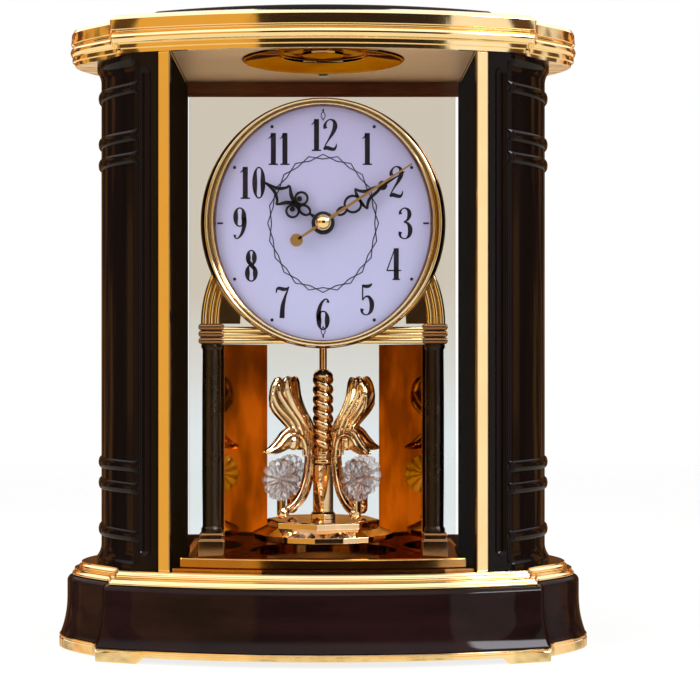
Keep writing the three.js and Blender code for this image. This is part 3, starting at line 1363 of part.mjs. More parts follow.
// A round bar along a smooth curve in the radial plane, with its own radius at each point.
function bar(stations, steps, sides) {
  const curve = new THREE.CatmullRomCurve3(stations.map(([r, z]) => new THREE.Vector3(r, 0, z)));
  const rings = [];
  for (let i = 0; i <= steps; i += 1) {
    const t = i / steps;
    const centre = curve.getPoint(t);
    const tangent = curve.getTangent(t);
    const across = new THREE.Vector3(0, 1, 0);
    const normal = new THREE.Vector3().crossVectors(across, tangent).normalize();
    const place = t * (stations.length - 1);
    const from = Math.min(Math.floor(place), stations.length - 2);
    const radius = THREE.MathUtils.lerp(stations[from][2], stations[from + 1][2], place - from);
    const ring = [];
    for (let j = 0; j < sides; j += 1) {
      const angle = 2 * Math.PI * j / sides;
      const point = centre.clone();
      point.addScaledVector(normal, radius * Math.cos(angle));
      point.addScaledVector(across, radius * Math.sin(angle));
      ring.push(point);
    }
    rings.push(ring);
  }
  return loft(rings);
}

function wing() {
  const outline = new THREE.Shape();
  outline.moveTo(5.2, 80.5);
  outline.bezierCurveTo(6.2, 85.5, 11.6, 88.5, 13.6, 95);
  outline.bezierCurveTo(14.5, 98.5, 14.6, 101.5, 16.8, 103.8);
  outline.bezierCurveTo(18, 104.8, 18.8, 102.6, 19.8, 102.4);
  outline.bezierCurveTo(21.5, 104.6, 24.2, 104, 25, 100.6);
  outline.bezierCurveTo(26.4, 97.5, 25.6, 93.6, 22.8, 91.2);
  outline.bezierCurveTo(19.6, 88.2, 16.2, 86.6, 14.4, 83.4);
  outline.bezierCurveTo(12, 80.5, 8, 78.5, 5.2, 80.5);
  const options = { depth: WING_THICKNESS, bevelEnabled: false, curveSegments: 3 };
  const geometry = new THREE.ExtrudeGeometry(outline, options);
  geometry.rotateX(Math.PI / 2);
  geometry.translate(0, WING_THICKNESS / 2, 0);
  return geometry;
}

function swan() {
  const feathers = [
    bar([[7.4, 82, 1.1], [11.6, 88, 1.3], [15, 95, 1.3], [17.2, 102.2, 0.9]], 4, 5),
    bar([[9.4, 81.6, 1.1], [14.2, 87, 1.3], [18.6, 94, 1.3], [21.6, 101.6, 0.9]], 4, 5),
    bar([[11.4, 81.4, 1.1], [16.4, 86, 1.3], [21.4, 91.6, 1.3], [24.6, 98.6, 0.8]], 4, 5),
  ];
  const neck = bar([
    [7.2, 75, 1.5], [8.2, 80.4, 1.8], [12.6, 83, 1.9], [17, 82.2, 1.9],
    [20.6, 79.4, 2.3], [23.6, 77.4, 1.5], [27.6, 75.6, 0.6],
  ], 8, 6);
  const stem = bar([
    [6.9, 82, 1.4], [6.6, 76, 1.5], [7.4, 68, 1.5], [10.4, 59.5, 1.5],
    [15.4, 54.2, 1.6], [18.8, 52.8, 1.8],
  ], 6, 5);
  const ball = new THREE.SphereGeometry(FOOT_BALL_RADIUS, 8, 5);
  ball.rotateX(Math.PI / 2);
  ball.translate(FOOT_BALL_PLACE[0], 0, FOOT_BALL_PLACE[1]);
  const peg = post(CRYSTAL_PLACE[0], 0, 0.9, FOOT_BALL_PLACE[1], CRYSTAL_PLACE[1] - CRYSTAL_RADIUS - GAP, 5);
  return joined(wing(), ...feathers, neck, stem, ball, peg);
}

// Crystals: cut glass wheels standing on the swans' feet, ridged on both faces

const CRYSTAL_PLACE = [20.2, 65.4];
const CRYSTAL_RADIUS = 8;
const CRYSTAL_RAYS = 12;

function crystal() {
  const sides = CRYSTAL_RAYS * 2;
  const rows = [
    { ridge: [2.2, 2.6], valley: [2.2, 2.1] },
    { ridge: [6.6, 2.4], valley: [6.2, 1.3] },
    { ridge: [CRYSTAL_RADIUS, 1.6], valley: [CRYSTAL_RADIUS - 0.8, 0.6] },
  ];
  const ringFor = (row, sign) => {
    const ring = [];
    for (let i = 0; i < sides; i += 1) {
      const angle = 2 * Math.PI * i / sides - Math.PI / 2;
      const [radius, half] = i % 2 === 0 ? row.ridge : row.valley;
      ring.push(new THREE.Vector3(radius * Math.cos(angle), sign * half, radius * Math.sin(angle)));
    }
    return ring;
  };
  const far = rows.map((row) => ringFor(row, 1));
  const near = rows.slice().reverse().map((row) => ringFor(row, -1));
  const geometry = loft([...far, ...near]);
  geometry.translate(CRYSTAL_PLACE[0], 0, CRYSTAL_PLACE[1]);
  return geometry;
}

for (let i = 0; i < SWAN_COUNT; i += 1) {
  const arm = new THREE.Group();
  arm.rotation.z = 2 * Math.PI * i / SWAN_COUNT;
  pendulum.add(arm);
  piece(`swan_${i + 1}`, swan(), GILT(), arm);
  piece(`crystal_${i + 1}`, crystal(), CRYSTAL(), arm);
}

export default clock;
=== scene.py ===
import json
import math

import bmesh
import bpy
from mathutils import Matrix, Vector

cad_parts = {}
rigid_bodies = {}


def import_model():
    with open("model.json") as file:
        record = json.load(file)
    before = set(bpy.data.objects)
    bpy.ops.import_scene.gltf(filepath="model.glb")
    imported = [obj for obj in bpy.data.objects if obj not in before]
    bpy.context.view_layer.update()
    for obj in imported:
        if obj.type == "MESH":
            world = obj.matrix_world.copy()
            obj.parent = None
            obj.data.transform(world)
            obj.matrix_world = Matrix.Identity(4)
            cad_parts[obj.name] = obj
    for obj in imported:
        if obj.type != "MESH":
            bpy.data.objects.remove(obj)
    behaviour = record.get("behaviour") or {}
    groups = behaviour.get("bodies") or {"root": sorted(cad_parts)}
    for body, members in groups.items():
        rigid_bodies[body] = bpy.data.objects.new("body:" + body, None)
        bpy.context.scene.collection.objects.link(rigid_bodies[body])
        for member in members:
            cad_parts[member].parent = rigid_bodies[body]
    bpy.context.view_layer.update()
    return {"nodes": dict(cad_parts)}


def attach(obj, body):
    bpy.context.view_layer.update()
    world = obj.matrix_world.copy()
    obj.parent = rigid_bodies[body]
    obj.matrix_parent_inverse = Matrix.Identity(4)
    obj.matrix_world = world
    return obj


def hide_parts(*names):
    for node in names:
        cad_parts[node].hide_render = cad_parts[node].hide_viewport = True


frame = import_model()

# Foot skirt: a gilt die-cast ring that follows the case outline and stands on four feet.
# It is cast, polished, plated and pressed up under the plinth.

MM = 0.001
FRONT_Y = -57.5
BACK_Y = 57.5
CORNER_X = 83.6
BOW_RISE = 16.3
BOW_RADIUS = (CORNER_X ** 2 + BOW_RISE ** 2) / (2 * BOW_RISE)
EAR_FRONT = (85.2, -29.8)
EAR_REAR = (85.2, 40)
EAR_X = 102.5
REAR_INSET_SHARE = 0.35
SKIRT_TOP = 5
SKIRT_WALL = 4
FOOT_RELIEF = 2.35
FOOT_INNER_X = 68.5
REAR_FOOT_INNER_X = 66
SKIRT_LIP = 0.35
CORNER_EASE = 0.7


class Wire:
    """One output of a node, so that a sum on it reads as plain arithmetic."""

    def __init__(self, sheet, socket):
        self.sheet = sheet
        self.socket = socket

    def sum(self, operation, first, second):
        return self.sheet.add("ShaderNodeMath", {"operation": operation}, {0: first, 1: second})

    def __add__(self, other):
        return self.sum("ADD", self, other)

    def __sub__(self, other):
        return self.sum("SUBTRACT", self, other)

    def __rsub__(self, other):
        return self.sum("SUBTRACT", other, self)

    def __mul__(self, other):
        return self.sum("MULTIPLY", self, other)

    __radd__ = __add__
    __rmul__ = __mul__

    def __getitem__(self, name):
        return Wire(self.sheet, self.socket.node.outputs[name])


class Sheet:
    """A node tree being drawn up; every node comes from add. Colours are given as three shares."""

    def __init__(self, tree):
        self.tree = tree

    def add(self, kind, settings=(), values=()):
        node = self.tree.nodes.new(kind)
        for name, value in dict(settings).items():
            setattr(node, name, value)
        for name, value in dict(values).items():
            if isinstance(name, int):
                socket = node.inputs[name]
            else:
                socket = next(s for s in node.inputs if s.enabled and s.name == name)
            for part in value if isinstance(value, list) else [value]:
                if isinstance(part, Wire):
                    self.tree.links.new(part.socket, socket)
                else:
                    socket.default_value = (*part, 1) if socket.type == "RGBA" else part
        shown = [s for s in node.outputs if s.enabled]
        return Wire(self, shown[0] if shown else None)

    def blend(self, share, first, second):
        values = {"Factor": share, "A": first, "B": second}
        return self.add("ShaderNodeMix", {"data_type": "RGBA"}, values)


class Finish(Sheet):
    """A surface finish, drawn on the piece's own coordinates."""

    def __init__(self, name):
        self.material = bpy.data.materials.new(name)
        self.material.use_nodes = True
        super().__init__(self.material.node_tree)
        self.tree.nodes.clear()
        self.place = self.add("ShaderNodeTexCoord")["Object"]

    def stretched(self, x, y, z):
        return self.add("ShaderNodeMapping", {}, {"Vector": self.place, "Scale": (x, y, z)})

    def cloud(self, size, detail, place=None):
        """Soft noise with patches about size millimetres across."""
        values = {"Vector": place or self.place, "Scale": 1 / (size * MM), "Detail": detail}
        return self.add("ShaderNodeTexNoise", {}, values)

    def along(self, axis):
        return self.add("ShaderNodeSeparateXYZ", {}, {"Vector": self.place})[axis]

    def between(self, value, start, end):
        """How far value has gone from start to end, from 0 to 1."""
        values = {"Value": value, "From Min": start, "From Max": end}
        return self.add("ShaderNodeMapRange", {}, values)

    def relief(self, height, depth):
        return self.add("ShaderNodeBump", {}, {"Height": height, "Distance": depth * MM})

    def shown(self, surface):
        self.add("ShaderNodeOutputMaterial", {}, {"Surface": surface})
        return self.material

    def surface(self, values):
        return self.shown(self.add("ShaderNodeBsdfPrincipled", {}, values))


def plated(name, bright, dull, smooth, rough, ripple):
    """Polished plate: faint clouds of wear, a fine grain and the slow ripple of buffing."""
    finish = Finish(name)
    wear = finish.cloud(16, 4)
    grain = finish.cloud(0.6, 2)
    ripples = finish.cloud(6, 1)
    return finish.surface({
        "Base Color": finish.blend(wear, bright, dull),
        "Metallic": 1.0,
        "Roughness": wear * (rough - smooth) + grain * 0.04 + smooth,
        "Normal": finish.relief(ripples + grain * 0.05, ripple),
    })


def settled(made):
    """Works the object's modifiers into its mesh."""
    graph = bpy.context.evaluated_depsgraph_get()
    mesh = bpy.data.meshes.new_from_object(made.evaluated_get(graph))
    made.modifiers.clear()
    made.data = mesh
    return made


def dressed(made, finish, body, nodes):
    made.data.materials.clear()
    made.data.materials.append(finish)
    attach(made, body)
    if nodes:
        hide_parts(*nodes)
    return made


class Blank:
    """Points and faces in millimetres, gathered until a piece is made of them."""

    def __init__(self):
        self.points = []
        self.faces = []

    def rings(self, rings, loop=False):
        """Joins rings of equal counts, with a cap at each end or round into a loop."""
        start = len(self.points)
        count = len(rings[0])
        for ring in rings:
            self.points.extend(ring)
        for i in range(len(rings) if loop else len(rings) - 1):
            low = start + i * count
            high = start + (i + 1) % len(rings) * count
            for j in range(count):
                k = (j + 1) % count
                self.faces.append((low + j, low + k, high + k, high + j))
        if not loop:
            last = start + (len(rings) - 1) * count
            self.faces.append(tuple(range(start, start + count)))
            self.faces.append(tuple(range(last, last + count)))
        return self

    def both_sides(self):
        count = len(self.points)
        self.faces += [tuple(count + i for i in face) for face in self.faces]
        self.points += [(-x, y, z) for x, y, z in self.points]
        return self

    def object(self, name):
        mesh = bpy.data.meshes.new(name)
        mesh.from_pydata([Vector(point) * MM for point in self.points], [], self.faces)
        work = bmesh.new()
        work.from_mesh(mesh)
        bmesh.ops.remove_doubles(work, verts=work.verts, dist=0.002 * MM)
        bmesh.ops.recalc_face_normals(work, faces=work.faces)
        work.to_mesh(mesh)
        work.free()
        made = bpy.data.objects.new(name, mesh)
        bpy.context.scene.collection.objects.link(made)
        return made

    def piece(self, name, finish, body, slot, *nodes, crease=40, edge=0.0, cutters=()):
        made = self.object(name)
        for cutter in cutters:
            tool = made.modifiers.new("Cut", "BOOLEAN")
            tool.solver = "MANIFOLD"
            tool.object = cutter.object("cutter")
        settled(made)
        for cutter in [o for o in bpy.data.objects if o.name.startswith("cutter")]:
            bpy.data.objects.remove(cutter)
        made.data.shade_smooth()
        made.data.set_sharp_from_angle(angle=math.radians(crease))
        if edge:
            bevel = made.modifiers.new("Edge", "BEVEL")
            bevel.width = edge * MM
            bevel.segments = 3
            bevel.angle_limit = math.radians(crease)
            bevel.harden_normals = True
            settled(made)
        return dressed(made, finish, body, nodes)


def bow_y(x, inset):
    return FRONT_Y + BOW_RADIUS - math.sqrt((BOW_RADIUS - inset) ** 2 - x ** 2)


def shared(shares, points):
    """The point that lies among others by a share of each."""
    return tuple(sum(s * p[k] for s, p in zip(shares, points)) for k in range(len(points[0])))


def bezier(a, b, c, d, steps):
    """Points on a cubic curve, without its first."""
    points = []
    for i in range(1, steps + 1):
        t = i / steps
        shares = ((1 - t) ** 3, 3 * t * (1 - t) ** 2, 3 * t ** 2 * (1 - t), t ** 3)
        points.append(shared(shares, (a, b, c, d)))
    return points


def mirrored(half):
    return half + [(-x, y) for x, y in reversed(half[1:])]


def set_in(plan, inset):
    """The plan moved inwards by one distance, each corner staying where its sides meet."""
    moved = []
    for i, point in enumerate(plan):
        arriving = (Vector(point) - Vector(plan[i - 1])).normalized()
        leaving = (Vector(plan[(i + 1) % len(plan)]) - Vector(point)).normalized()
        inwards = [Vector((-way.y, way.x)) for way in (arriving, leaving)]
        reach = inset / (1 + inwards[0].dot(inwards[1]))
        moved.append(tuple(Vector(point) + (inwards[0] + inwards[1]) * reach))
    return moved


def eased(line, radius, closed, only=None):
    """A line with its corners rounded off; only lists the corners if not all."""
    smooth = []
    for i, point in enumerate(line):
        is_end = not closed and i in (0, len(line) - 1)
        if is_end or (only is not None and i not in only):
            smooth.append(tuple(point))
            continue
        here = Vector(point)
        before = Vector(line[i - 1]) - here
        after = Vector(line[(i + 1) % len(line)]) - here
        start = before.normalized() * min(radius, before.length * 0.45)
        end = after.normalized() * min(radius, after.length * 0.45)
        for t in (0, 0.25, 0.5, 0.75, 1):
            smooth.append(tuple(here + start * (1 - t) ** 2 + end * t ** 2))
    return smooth


def case_outline():
    bow = [(x, bow_y(x, 0)) for x in (*(CORNER_X * 0.86 * i / 23 for i in range(24)), CORNER_X)]
    ear = [
        *bezier(EAR_FRONT, (92, -22), (EAR_X, -13), (EAR_X, 0), 14),
        *bezier((EAR_X, 0), (EAR_X, 16), (94, 32), EAR_REAR, 14),
    ]
    return mirrored([*bow, EAR_FRONT, *ear, (CORNER_X, 42.5), (CORNER_X, BACK_Y)])


OUTLINE = case_outline()
SHARP_CORNERS = {24, 25, 53, 54, 55}
SHARP_CORNERS |= {len(OUTLINE) - i for i in SHARP_CORNERS}


def case_plan(inset, swell=0.0):
    """The outline set in all round, with its ears swollen sideways by a further amount."""
    plan = []
    for (x, y), (from_x, from_y) in zip(set_in(OUTLINE, inset), OUTLINE):
        share = max(abs(from_x) - EAR_FRONT[0], 0) / (EAR_X - EAR_FRONT[0])
        y = BACK_Y - inset * REAR_INSET_SHARE if from_y == BACK_Y else y
        plan.append((x + math.copysign(swell * share, x), y))
    return eased(plan, CORNER_EASE, True, SHARP_CORNERS)


def at_height(plan, z):
    return [(x, y, z) for x, y in plan]


def case_rings(rows, ease):
    """Case outlines up a profile of heights, insets and swells, the profile's corners eased."""
    return [at_height(case_plan(inset, swell), z) for z, inset, swell in eased(rows, ease, False)]


def skirt_plan():
    """The outline with extra points where the reliefs between the feet begin and end."""
    starts = (FOOT_INNER_X, FOOT_INNER_X - FOOT_RELIEF)
    bow = sorted([x for x, y in OUTLINE[:25]] + list(starts))
    rear = [REAR_FOOT_INNER_X, REAR_FOOT_INNER_X - FOOT_RELIEF, 0]
    half = [(x, bow_y(x, 0)) for x in bow] + OUTLINE[25:56] + [(x, BACK_Y) for x in rear]
    return half + [(-x, y) for x, y in reversed(half[1:-1])]


def relief(x, y):
    inner_x = FOOT_INNER_X if y < 0 else REAR_FOOT_INNER_X
    on_side = -31 < y < BACK_Y - SKIRT_WALL - 2
    return 0 if on_side else max(0, min(FOOT_RELIEF, inner_x - abs(x)))


outer = skirt_plan()
inner = set_in(outer, SKIRT_WALL)
foot = [relief(x, y) for x, y in outer]
wall = [[(x, y, z + SKIRT_LIP) for (x, y), z in zip(outer, foot)]]
for drop, inset in (
    (1.5, 0), (1.2, SKIRT_LIP), (0.7, SKIRT_LIP), (0.45, 0), (0.08, 0.1), (0, SKIRT_LIP),
):
    wall.append(at_height(set_in(outer, inset), SKIRT_TOP - drop))
wall.append(at_height(inner, SKIRT_TOP))
for plan in (inner, set_in(outer, SKIRT_LIP)):
    wall.append([(x, y, z) for (x, y), z in zip(plan, foot)])
gold = plated("gold_plate", (1, 0.8, 0.46), (0.94, 0.68, 0.33), 0.03, 0.1, 0.04)
skirt = Blank().rings(wall, loop=True)
skirt.piece("foot_skirt_ring", gold, "case", "gold_plate", "foot_skirt")

# Plinth: a deep moulding of veneered fibreboard, hollowed in its lower flare and rounded at the
# shoulder. It is stained dark walnut and lacquered to a deep gloss.

PLINTH_TOP = 27.5
PLINTH_EDGE = 0.4
PLINTH_FLARE = 3.1
FLARE_HEIGHT = 15
SHOULDER = 2.1


def plinth_rows():
    rows = [(SKIRT_TOP, 12), (SKIRT_TOP, PLINTH_EDGE + 0.3), (SKIRT_TOP + 0.3, PLINTH_EDGE)]
    for i in range(1, 17):
        rise = i / 16
        inset = PLINTH_EDGE + (PLINTH_FLARE - PLINTH_EDGE) * (1 - (1 - rise) ** 2.2)
        rows.append((SKIRT_TOP + FLARE_HEIGHT * rise, inset))
    for i in range(11):
        angle = math.pi / 2 * i / 10
        z = PLINTH_TOP - SHOULDER * (1 - math.sin(angle))
        rows.append((z, PLINTH_FLARE + SHOULDER * (1 - math.cos(angle))))
    return [*rows, (PLINTH_TOP, PLINTH_FLARE + SHOULDER + 0.5), (PLINTH_TOP, 14)]


def lacquered_wood(name, light, dark, grain_way, matt_within=0.0):
    """Stained veneer under thick lacquer: long grain, short pores and a faint orange peel. The
    faces nearer the middle than matt_within are sprayed thinly and stay matt."""
    finish = Finish(name)
    fibres = finish.cloud(9, 6, finish.stretched(*grain_way))
    pores = finish.cloud(0.8, 2, finish.stretched(*grain_way))
    peel = finish.cloud(1.6, 1)
    figure = finish.between(fibres + pores * 0.25, 0.42, 0.8)
    aside = finish.add("ShaderNodeMath", {"operation": "ABSOLUTE"}, {0: finish.along("X")})
    sprayed = finish.between(aside, matt_within * MM - 0.0002, matt_within * MM)
    return finish.surface({
        "Base Color": finish.blend(figure, dark, light),
        "Roughness": fibres * 0.15 + 0.8 - sprayed * 0.5,
        "Normal": finish.relief(peel + finish.cloud(30, 1) * 4, 0.006),
        "IOR": 1.02,
        "Coat Weight": sprayed * 0.24,
        "Coat Roughness": 0.03,
    })


walnut = lacquered_wood(
    "walnut_gloss", (0.016, 0.006, 0.0055), (0.006, 0.0028, 0.003), (0.12, 1, 1),
)
plinth = Blank().rings([at_height(case_plan(inset), z) for z, inset in plinth_rows()])
plinth.piece("plinth_moulding", walnut, "case", "walnut_gloss", "plinth", crease=50)

# Bottom cover: a dark moulded plate in the foot skirt, held up by four cross-head screws that
# Geometry Nodes set at their places.

SCREW_PLACES = ((-70, -24), (70, -24), (-70, 38), (70, 38))
COVER_BOTTOM = 3
HEAD_HEIGHT = 1.4


def moulded(name, light, dark, size, depth, gloss):
    """Moulded plastic with the fine pitted texture of a sparked mould."""
    finish = Finish(name)
    pits = finish.cloud(size, 3)
    cast = finish.cloud(20, 2)
    return finish.surface({
        "Base Color": finish.blend(cast, dark, light),
        "Roughness": pits * 0.2 + gloss,
        "Normal": finish.relief(pits, depth),
    })


plastic = moulded("movement_plastic", (0.03, 0.03, 0.032), (0.014, 0.014, 0.016), 0.5, 0.03, 0.4)


def recoated(finish, *names):
    """Gives plain pieces of the model their real finish."""
    for name in names:
        node = frame["nodes"][name]
        node.data.materials.clear()
        node.data.materials.append(finish)


recoated(plastic, "bottom_cover")


class Former(Sheet):
    """A geometry tree with named sizes, which leaves one plain mesh."""

    def __init__(self, name):
        super().__init__(bpy.data.node_groups.new(name, "GeometryNodeTree"))
        self.name = name
        self.sizes = {}
        self.entry = self.tree.nodes.new("NodeGroupInput")
        self.tree.interface.new_socket(
            "Geometry", in_out="OUTPUT", socket_type="NodeSocketGeometry",
        )

    def size(self, name, value):
        kinds = {int: "Int", float: "Float", tuple: "Vector"}
        kind = "NodeSocket" + kinds.get(type(value), "Object")
        socket = self.tree.interface.new_socket(name, in_out="INPUT", socket_type=kind)
        self.sizes[socket.identifier] = value
        return Wire(self, self.entry.outputs[name])

    def about_z(self, turn):
        return self.add("ShaderNodeCombineXYZ", {}, {2: turn})

    def moved(self, geometry, place=(0, 0, 0), turn=(0, 0, 0), scale=(1, 1, 1)):
        values = {"Geometry": geometry, "Translation": place, "Rotation": turn, "Scale": scale}
        return self.add("GeometryNodeTransform", {}, values)

    def joined(self, *parts):
        return self.add("GeometryNodeJoinGeometry", {}, {"Geometry": list(parts)})

    def placed(self, points, instance, turn=None):
        values = {"Points": points, "Instance": instance}
        if turn is not None:
            values["Rotation"] = self.add("FunctionNodeEulerToRotation", {}, {0: turn})
        return self.add("GeometryNodeInstanceOnPoints", {}, values)

    def remainder(self, count):
        """What is left of each point's number when it is divided by count."""
        number = self.add("GeometryNodeInputIndex")
        return self.add("ShaderNodeMath", {"operation": "MODULO"}, {0: number, 1: count})

    def swept(self, path, sides, radius):
        """A round wire along a path, with its ends closed."""
        values = {"Resolution": sides, "Radius": radius}
        section = self.add("GeometryNodeCurvePrimitiveCircle", {}, values)
        values = {0: path, 1: section, "Fill Caps": True}
        return self.add("GeometryNodeCurveToMesh", {}, values)

    def given(self, made):
        """The mesh of another object, which is taken away once the piece is made."""
        info = self.add("GeometryNodeObjectInfo", {}, {"Object": self.size(made.name, made)})
        return info["Geometry"]

    def piece(self, geometry, finish, body, slot, *nodes, crease=40):
        whole = self.add("GeometryNodeRealizeInstances", {}, {"Geometry": geometry})
        coloured = self.add("GeometryNodeSetMaterial", {}, {"Geometry": whole, "Material": finish})
        self.add("NodeGroupOutput", {}, {0: coloured})
        made = Blank().object(self.name)
        modifier = made.modifiers.new("Form", "NODES")
        modifier.node_group = self.tree
        for identifier, value in self.sizes.items():
            modifier[identifier] = value
        settled(made)
        for value in self.sizes.values():
            if isinstance(value, bpy.types.Object):
                bpy.data.objects.remove(value)
        work = bmesh.new()
        work.from_mesh(made.data)
        bmesh.ops.remove_doubles(work, verts=work.verts, dist=0.002 * MM)
        bmesh.ops.recalc_face_normals(work, faces=work.faces)
        work.to_mesh(made.data)
        work.free()
        made.data.shade_smooth()
        made.data.set_sharp_from_angle(angle=math.radians(crease))
        return dressed(made, finish, body, nodes)


def turned(profile, steps, x=0.0, y=0.0, z=0.0, ease=0.0, forward=False):
    """A turned shape from radii and heights, its corners eased; forward lays its axis towards the
    viewer."""
    rings = []
    for radius, height in eased(profile, ease, False) if ease else profile:
        ring = []
        for i in range(steps):
            angle = 2 * math.pi * i / steps
            across, up = radius * math.cos(angle), radius * math.sin(angle)
            reach = (-height, up) if forward else (up, height)
            ring.append((x + across, y + reach[0], z + reach[1]))
        rings.append(ring)
    return rings


steel = plated("steel", (0.62, 0.61, 0.58), (0.42, 0.42, 0.42), 0.22, 0.36, 0.05)
head = [
    (0.01, 0), (2.5, 0.1), (3.1, HEAD_HEIGHT - 0.15), (3.1, HEAD_HEIGHT), (1.4, HEAD_HEIGHT),
    (1.4, 3),
]
bottom = Former("bottom_cover_screws")
blank = bottom.given(Blank().rings(turned(head, 24, ease=0.3)).object("screw_blank"))
arm_size = bottom.size("Cross", (0.0038, 0.0007, 0.0014))
arm = bottom.add("GeometryNodeMeshCube", {}, {"Size": arm_size})
cross = bottom.joined(arm, bottom.moved(arm, turn=(0, 0, math.pi / 2)))
cutting = {"Mesh 1": blank, "Mesh 2": cross}
cut = bottom.add("GeometryNodeMeshBoolean", {"operation": "DIFFERENCE"}, cutting)
raised = bottom.moved(cut, (0, 0, (COVER_BOTTOM - HEAD_HEIGHT) * MM))
screws = []
for i, (x, y) in enumerate(SCREW_PLACES):
    place = bottom.size(f"Place {i + 1}", (x * MM, y * MM, 0.0))
    screws.append(bottom.moved(raised, place, (0, 0, 0.7 * i)))
bottom.piece(
    bottom.joined(*screws), steel, "case", "steel",
    "bottom_screw_1", "bottom_screw_2", "bottom_screw_3", "bottom_screw_4",
)

# Lower moulding: a gilt cast frame in two tiers on the plinth, each tier a rounded lip under a
# hollowed face. The pilasters and the floor of the glazed chamber stand on it.

LOWER_TIER_TOP = 30.3
DECK_Z = 32.7
TIER_INSETS = (5.4, 8.1)
LIP_HEIGHT = 1.3
LIP_PROUD = 0.45


def bead(bottom_z, top_z, inset, proud, steps):
    """Rows of a half-round bead that swells out of a face."""
    rows = []
    for i in range(steps + 1):
        angle = math.pi * i / steps
        z = bottom_z + (top_z - bottom_z) * (1 - math.cos(angle)) / 2
        rows.append((z, inset - proud * math.sin(angle)))
    return rows


def tier(bottom_z, top_z, inset):
    """A lip, then a face hollowed a little between it and the edge above."""
    rows = bead(bottom_z, bottom_z + LIP_HEIGHT, inset, LIP_PROUD, 10)
    for i in range(1, 8):
        rise = i / 7
        hollow = 0.5 * math.sin(math.pi * rise * 0.62)
        z = bottom_z + LIP_HEIGHT + (top_z - bottom_z - LIP_HEIGHT - 0.12) * rise
        rows.append((z, inset + hollow))
    return [*rows, (top_z, inset + 0.5)]


frame_rows = [
    (PLINTH_TOP, 14),
    *tier(PLINTH_TOP, LOWER_TIER_TOP, TIER_INSETS[0]),
    *tier(LOWER_TIER_TOP, DECK_Z, TIER_INSETS[1]),
    (DECK_Z, 16),
]
tiers = Blank().rings([at_height(case_plan(inset), z) for z, inset in frame_rows])
tiers.piece("lower_moulding_tiers", gold, "case", "gold_plate", "lower_moulding")

# Side pilasters: full-height mouldings in black-brown lacquer, with a long flute in front, ribs
# that wrap the outer side and a flared foot and cap. A gilt strip is set in the inner front edge.

SOFFIT_Z = 224.4
MID_Z = (DECK_Z + SOFFIT_Z) / 2
CHAMBER_HALF = 56.5
STRIP_OUTER_X = 61.2
STRIP_BED = 11.9
FACE_INSET = 10.5
PILASTER_CORNER = (69, bow_y(69, FACE_INSET))
PILASTER_SIDE = (86.4, 2)
PILASTER_REAR = (66, 52.5)
RIB_OFFSETS = (57.4, 65.5, 83.3)
RIB_HEIGHT = 4.4
RIB_PROUD = 1.1
CAP_PROUD = 1.5
CAP_HEIGHT = 2.2
CAP_SWEEP = 5
FLUTE_X = 66.2
FLUTE_RADIUS = 2.9
FLUTE_SINK = 1.1
FLUTE_REACH = (SOFFIT_Z - DECK_Z) / 2 - 5


def pilaster_plan():
    """The plain inner and front points, then the outer ones that the ribs swell."""
    plain = [(CHAMBER_HALF, PILASTER_REAR[1])]
    plain += [(x, bow_y(x, STRIP_BED)) for x in (CHAMBER_HALF, STRIP_OUTER_X)]
    plain += [(x, bow_y(x, FACE_INSET)) for x in (STRIP_OUTER_X, 64, 66, 68)]
    corner, side = PILASTER_CORNER, PILASTER_SIDE
    leaving, arriving = (corner[0] + 6, corner[1] + 8.5), (side[0] - 0.4, side[1] - 17)
    front = [corner, *bezier(corner, leaving, arriving, side, 22)]
    leaving, arriving = (side[0], side[1] + 20), (side[0] - 8.5, side[1] + 40)
    return plain, front + bezier(side, leaving, arriving, PILASTER_REAR, 16)


def pilaster_rows():
    upper = []
    for offset in RIB_OFFSETS:
        middle = MID_Z + offset
        rib = bead(middle - RIB_HEIGHT / 2, middle + RIB_HEIGHT / 2, 0, RIB_PROUD, 14)
        upper += [(rib[0][0] - 0.3, 0), *[(z, -inset) for z, inset in rib], (rib[-1][0] + 0.3, 0)]
    flare = SOFFIT_Z - CAP_HEIGHT - CAP_SWEEP
    for i in range(9):
        upper.append((flare + CAP_SWEEP * i / 8, CAP_PROUD * (i / 8) ** 2.4))
    upper += [(SOFFIT_Z - CAP_HEIGHT + 0.25, CAP_PROUD + 0.1), (SOFFIT_Z, CAP_PROUD + 0.1)]
    return [(2 * MID_Z - z, proud) for z, proud in reversed(upper)] + upper


def pilaster_ring(z, proud):
    plain, swelling = pilaster_plan()
    plan = plain + swelling
    swollen = set_in(plan, -proud)
    ring = []
    for i, (x, y) in enumerate(plan):
        if i > len(plain):
            x, y = swollen[i][0], y if i == len(plan) - 1 else swollen[i][1]
        ring.append((x, y, z))
    return ring


flute = []
for end, steps in ((-1, range(10, -1, -1)), (1, range(11))):
    for i in steps:
        swing = math.pi / 2 * i / 10
        rise = FLUTE_REACH - FLUTE_RADIUS + FLUTE_RADIUS * math.sin(swing)
        radius = FLUTE_RADIUS * math.cos(swing) + (0.001 if i else 0)
        flute.append((radius, MID_Z + end * rise))
flute_y = bow_y(FLUTE_X, FACE_INSET) - FLUTE_RADIUS + FLUTE_SINK
lacquer = lacquered_wood(
    "black_gloss", (0.007, 0.0038, 0.0035), (0.0028, 0.0017, 0.0017), (1, 1, 0.07), 57.2,
)
pilasters = Blank().rings([pilaster_ring(z, proud) for z, proud in pilaster_rows()]).both_sides()
groove = Blank().rings(turned(flute, 24, FLUTE_X, flute_y)).both_sides()
pilasters.piece(
    "side_pilasters", lacquer, "case", "black_gloss", "right_pilaster", "left_pilaster",
    cutters=[groove],
)

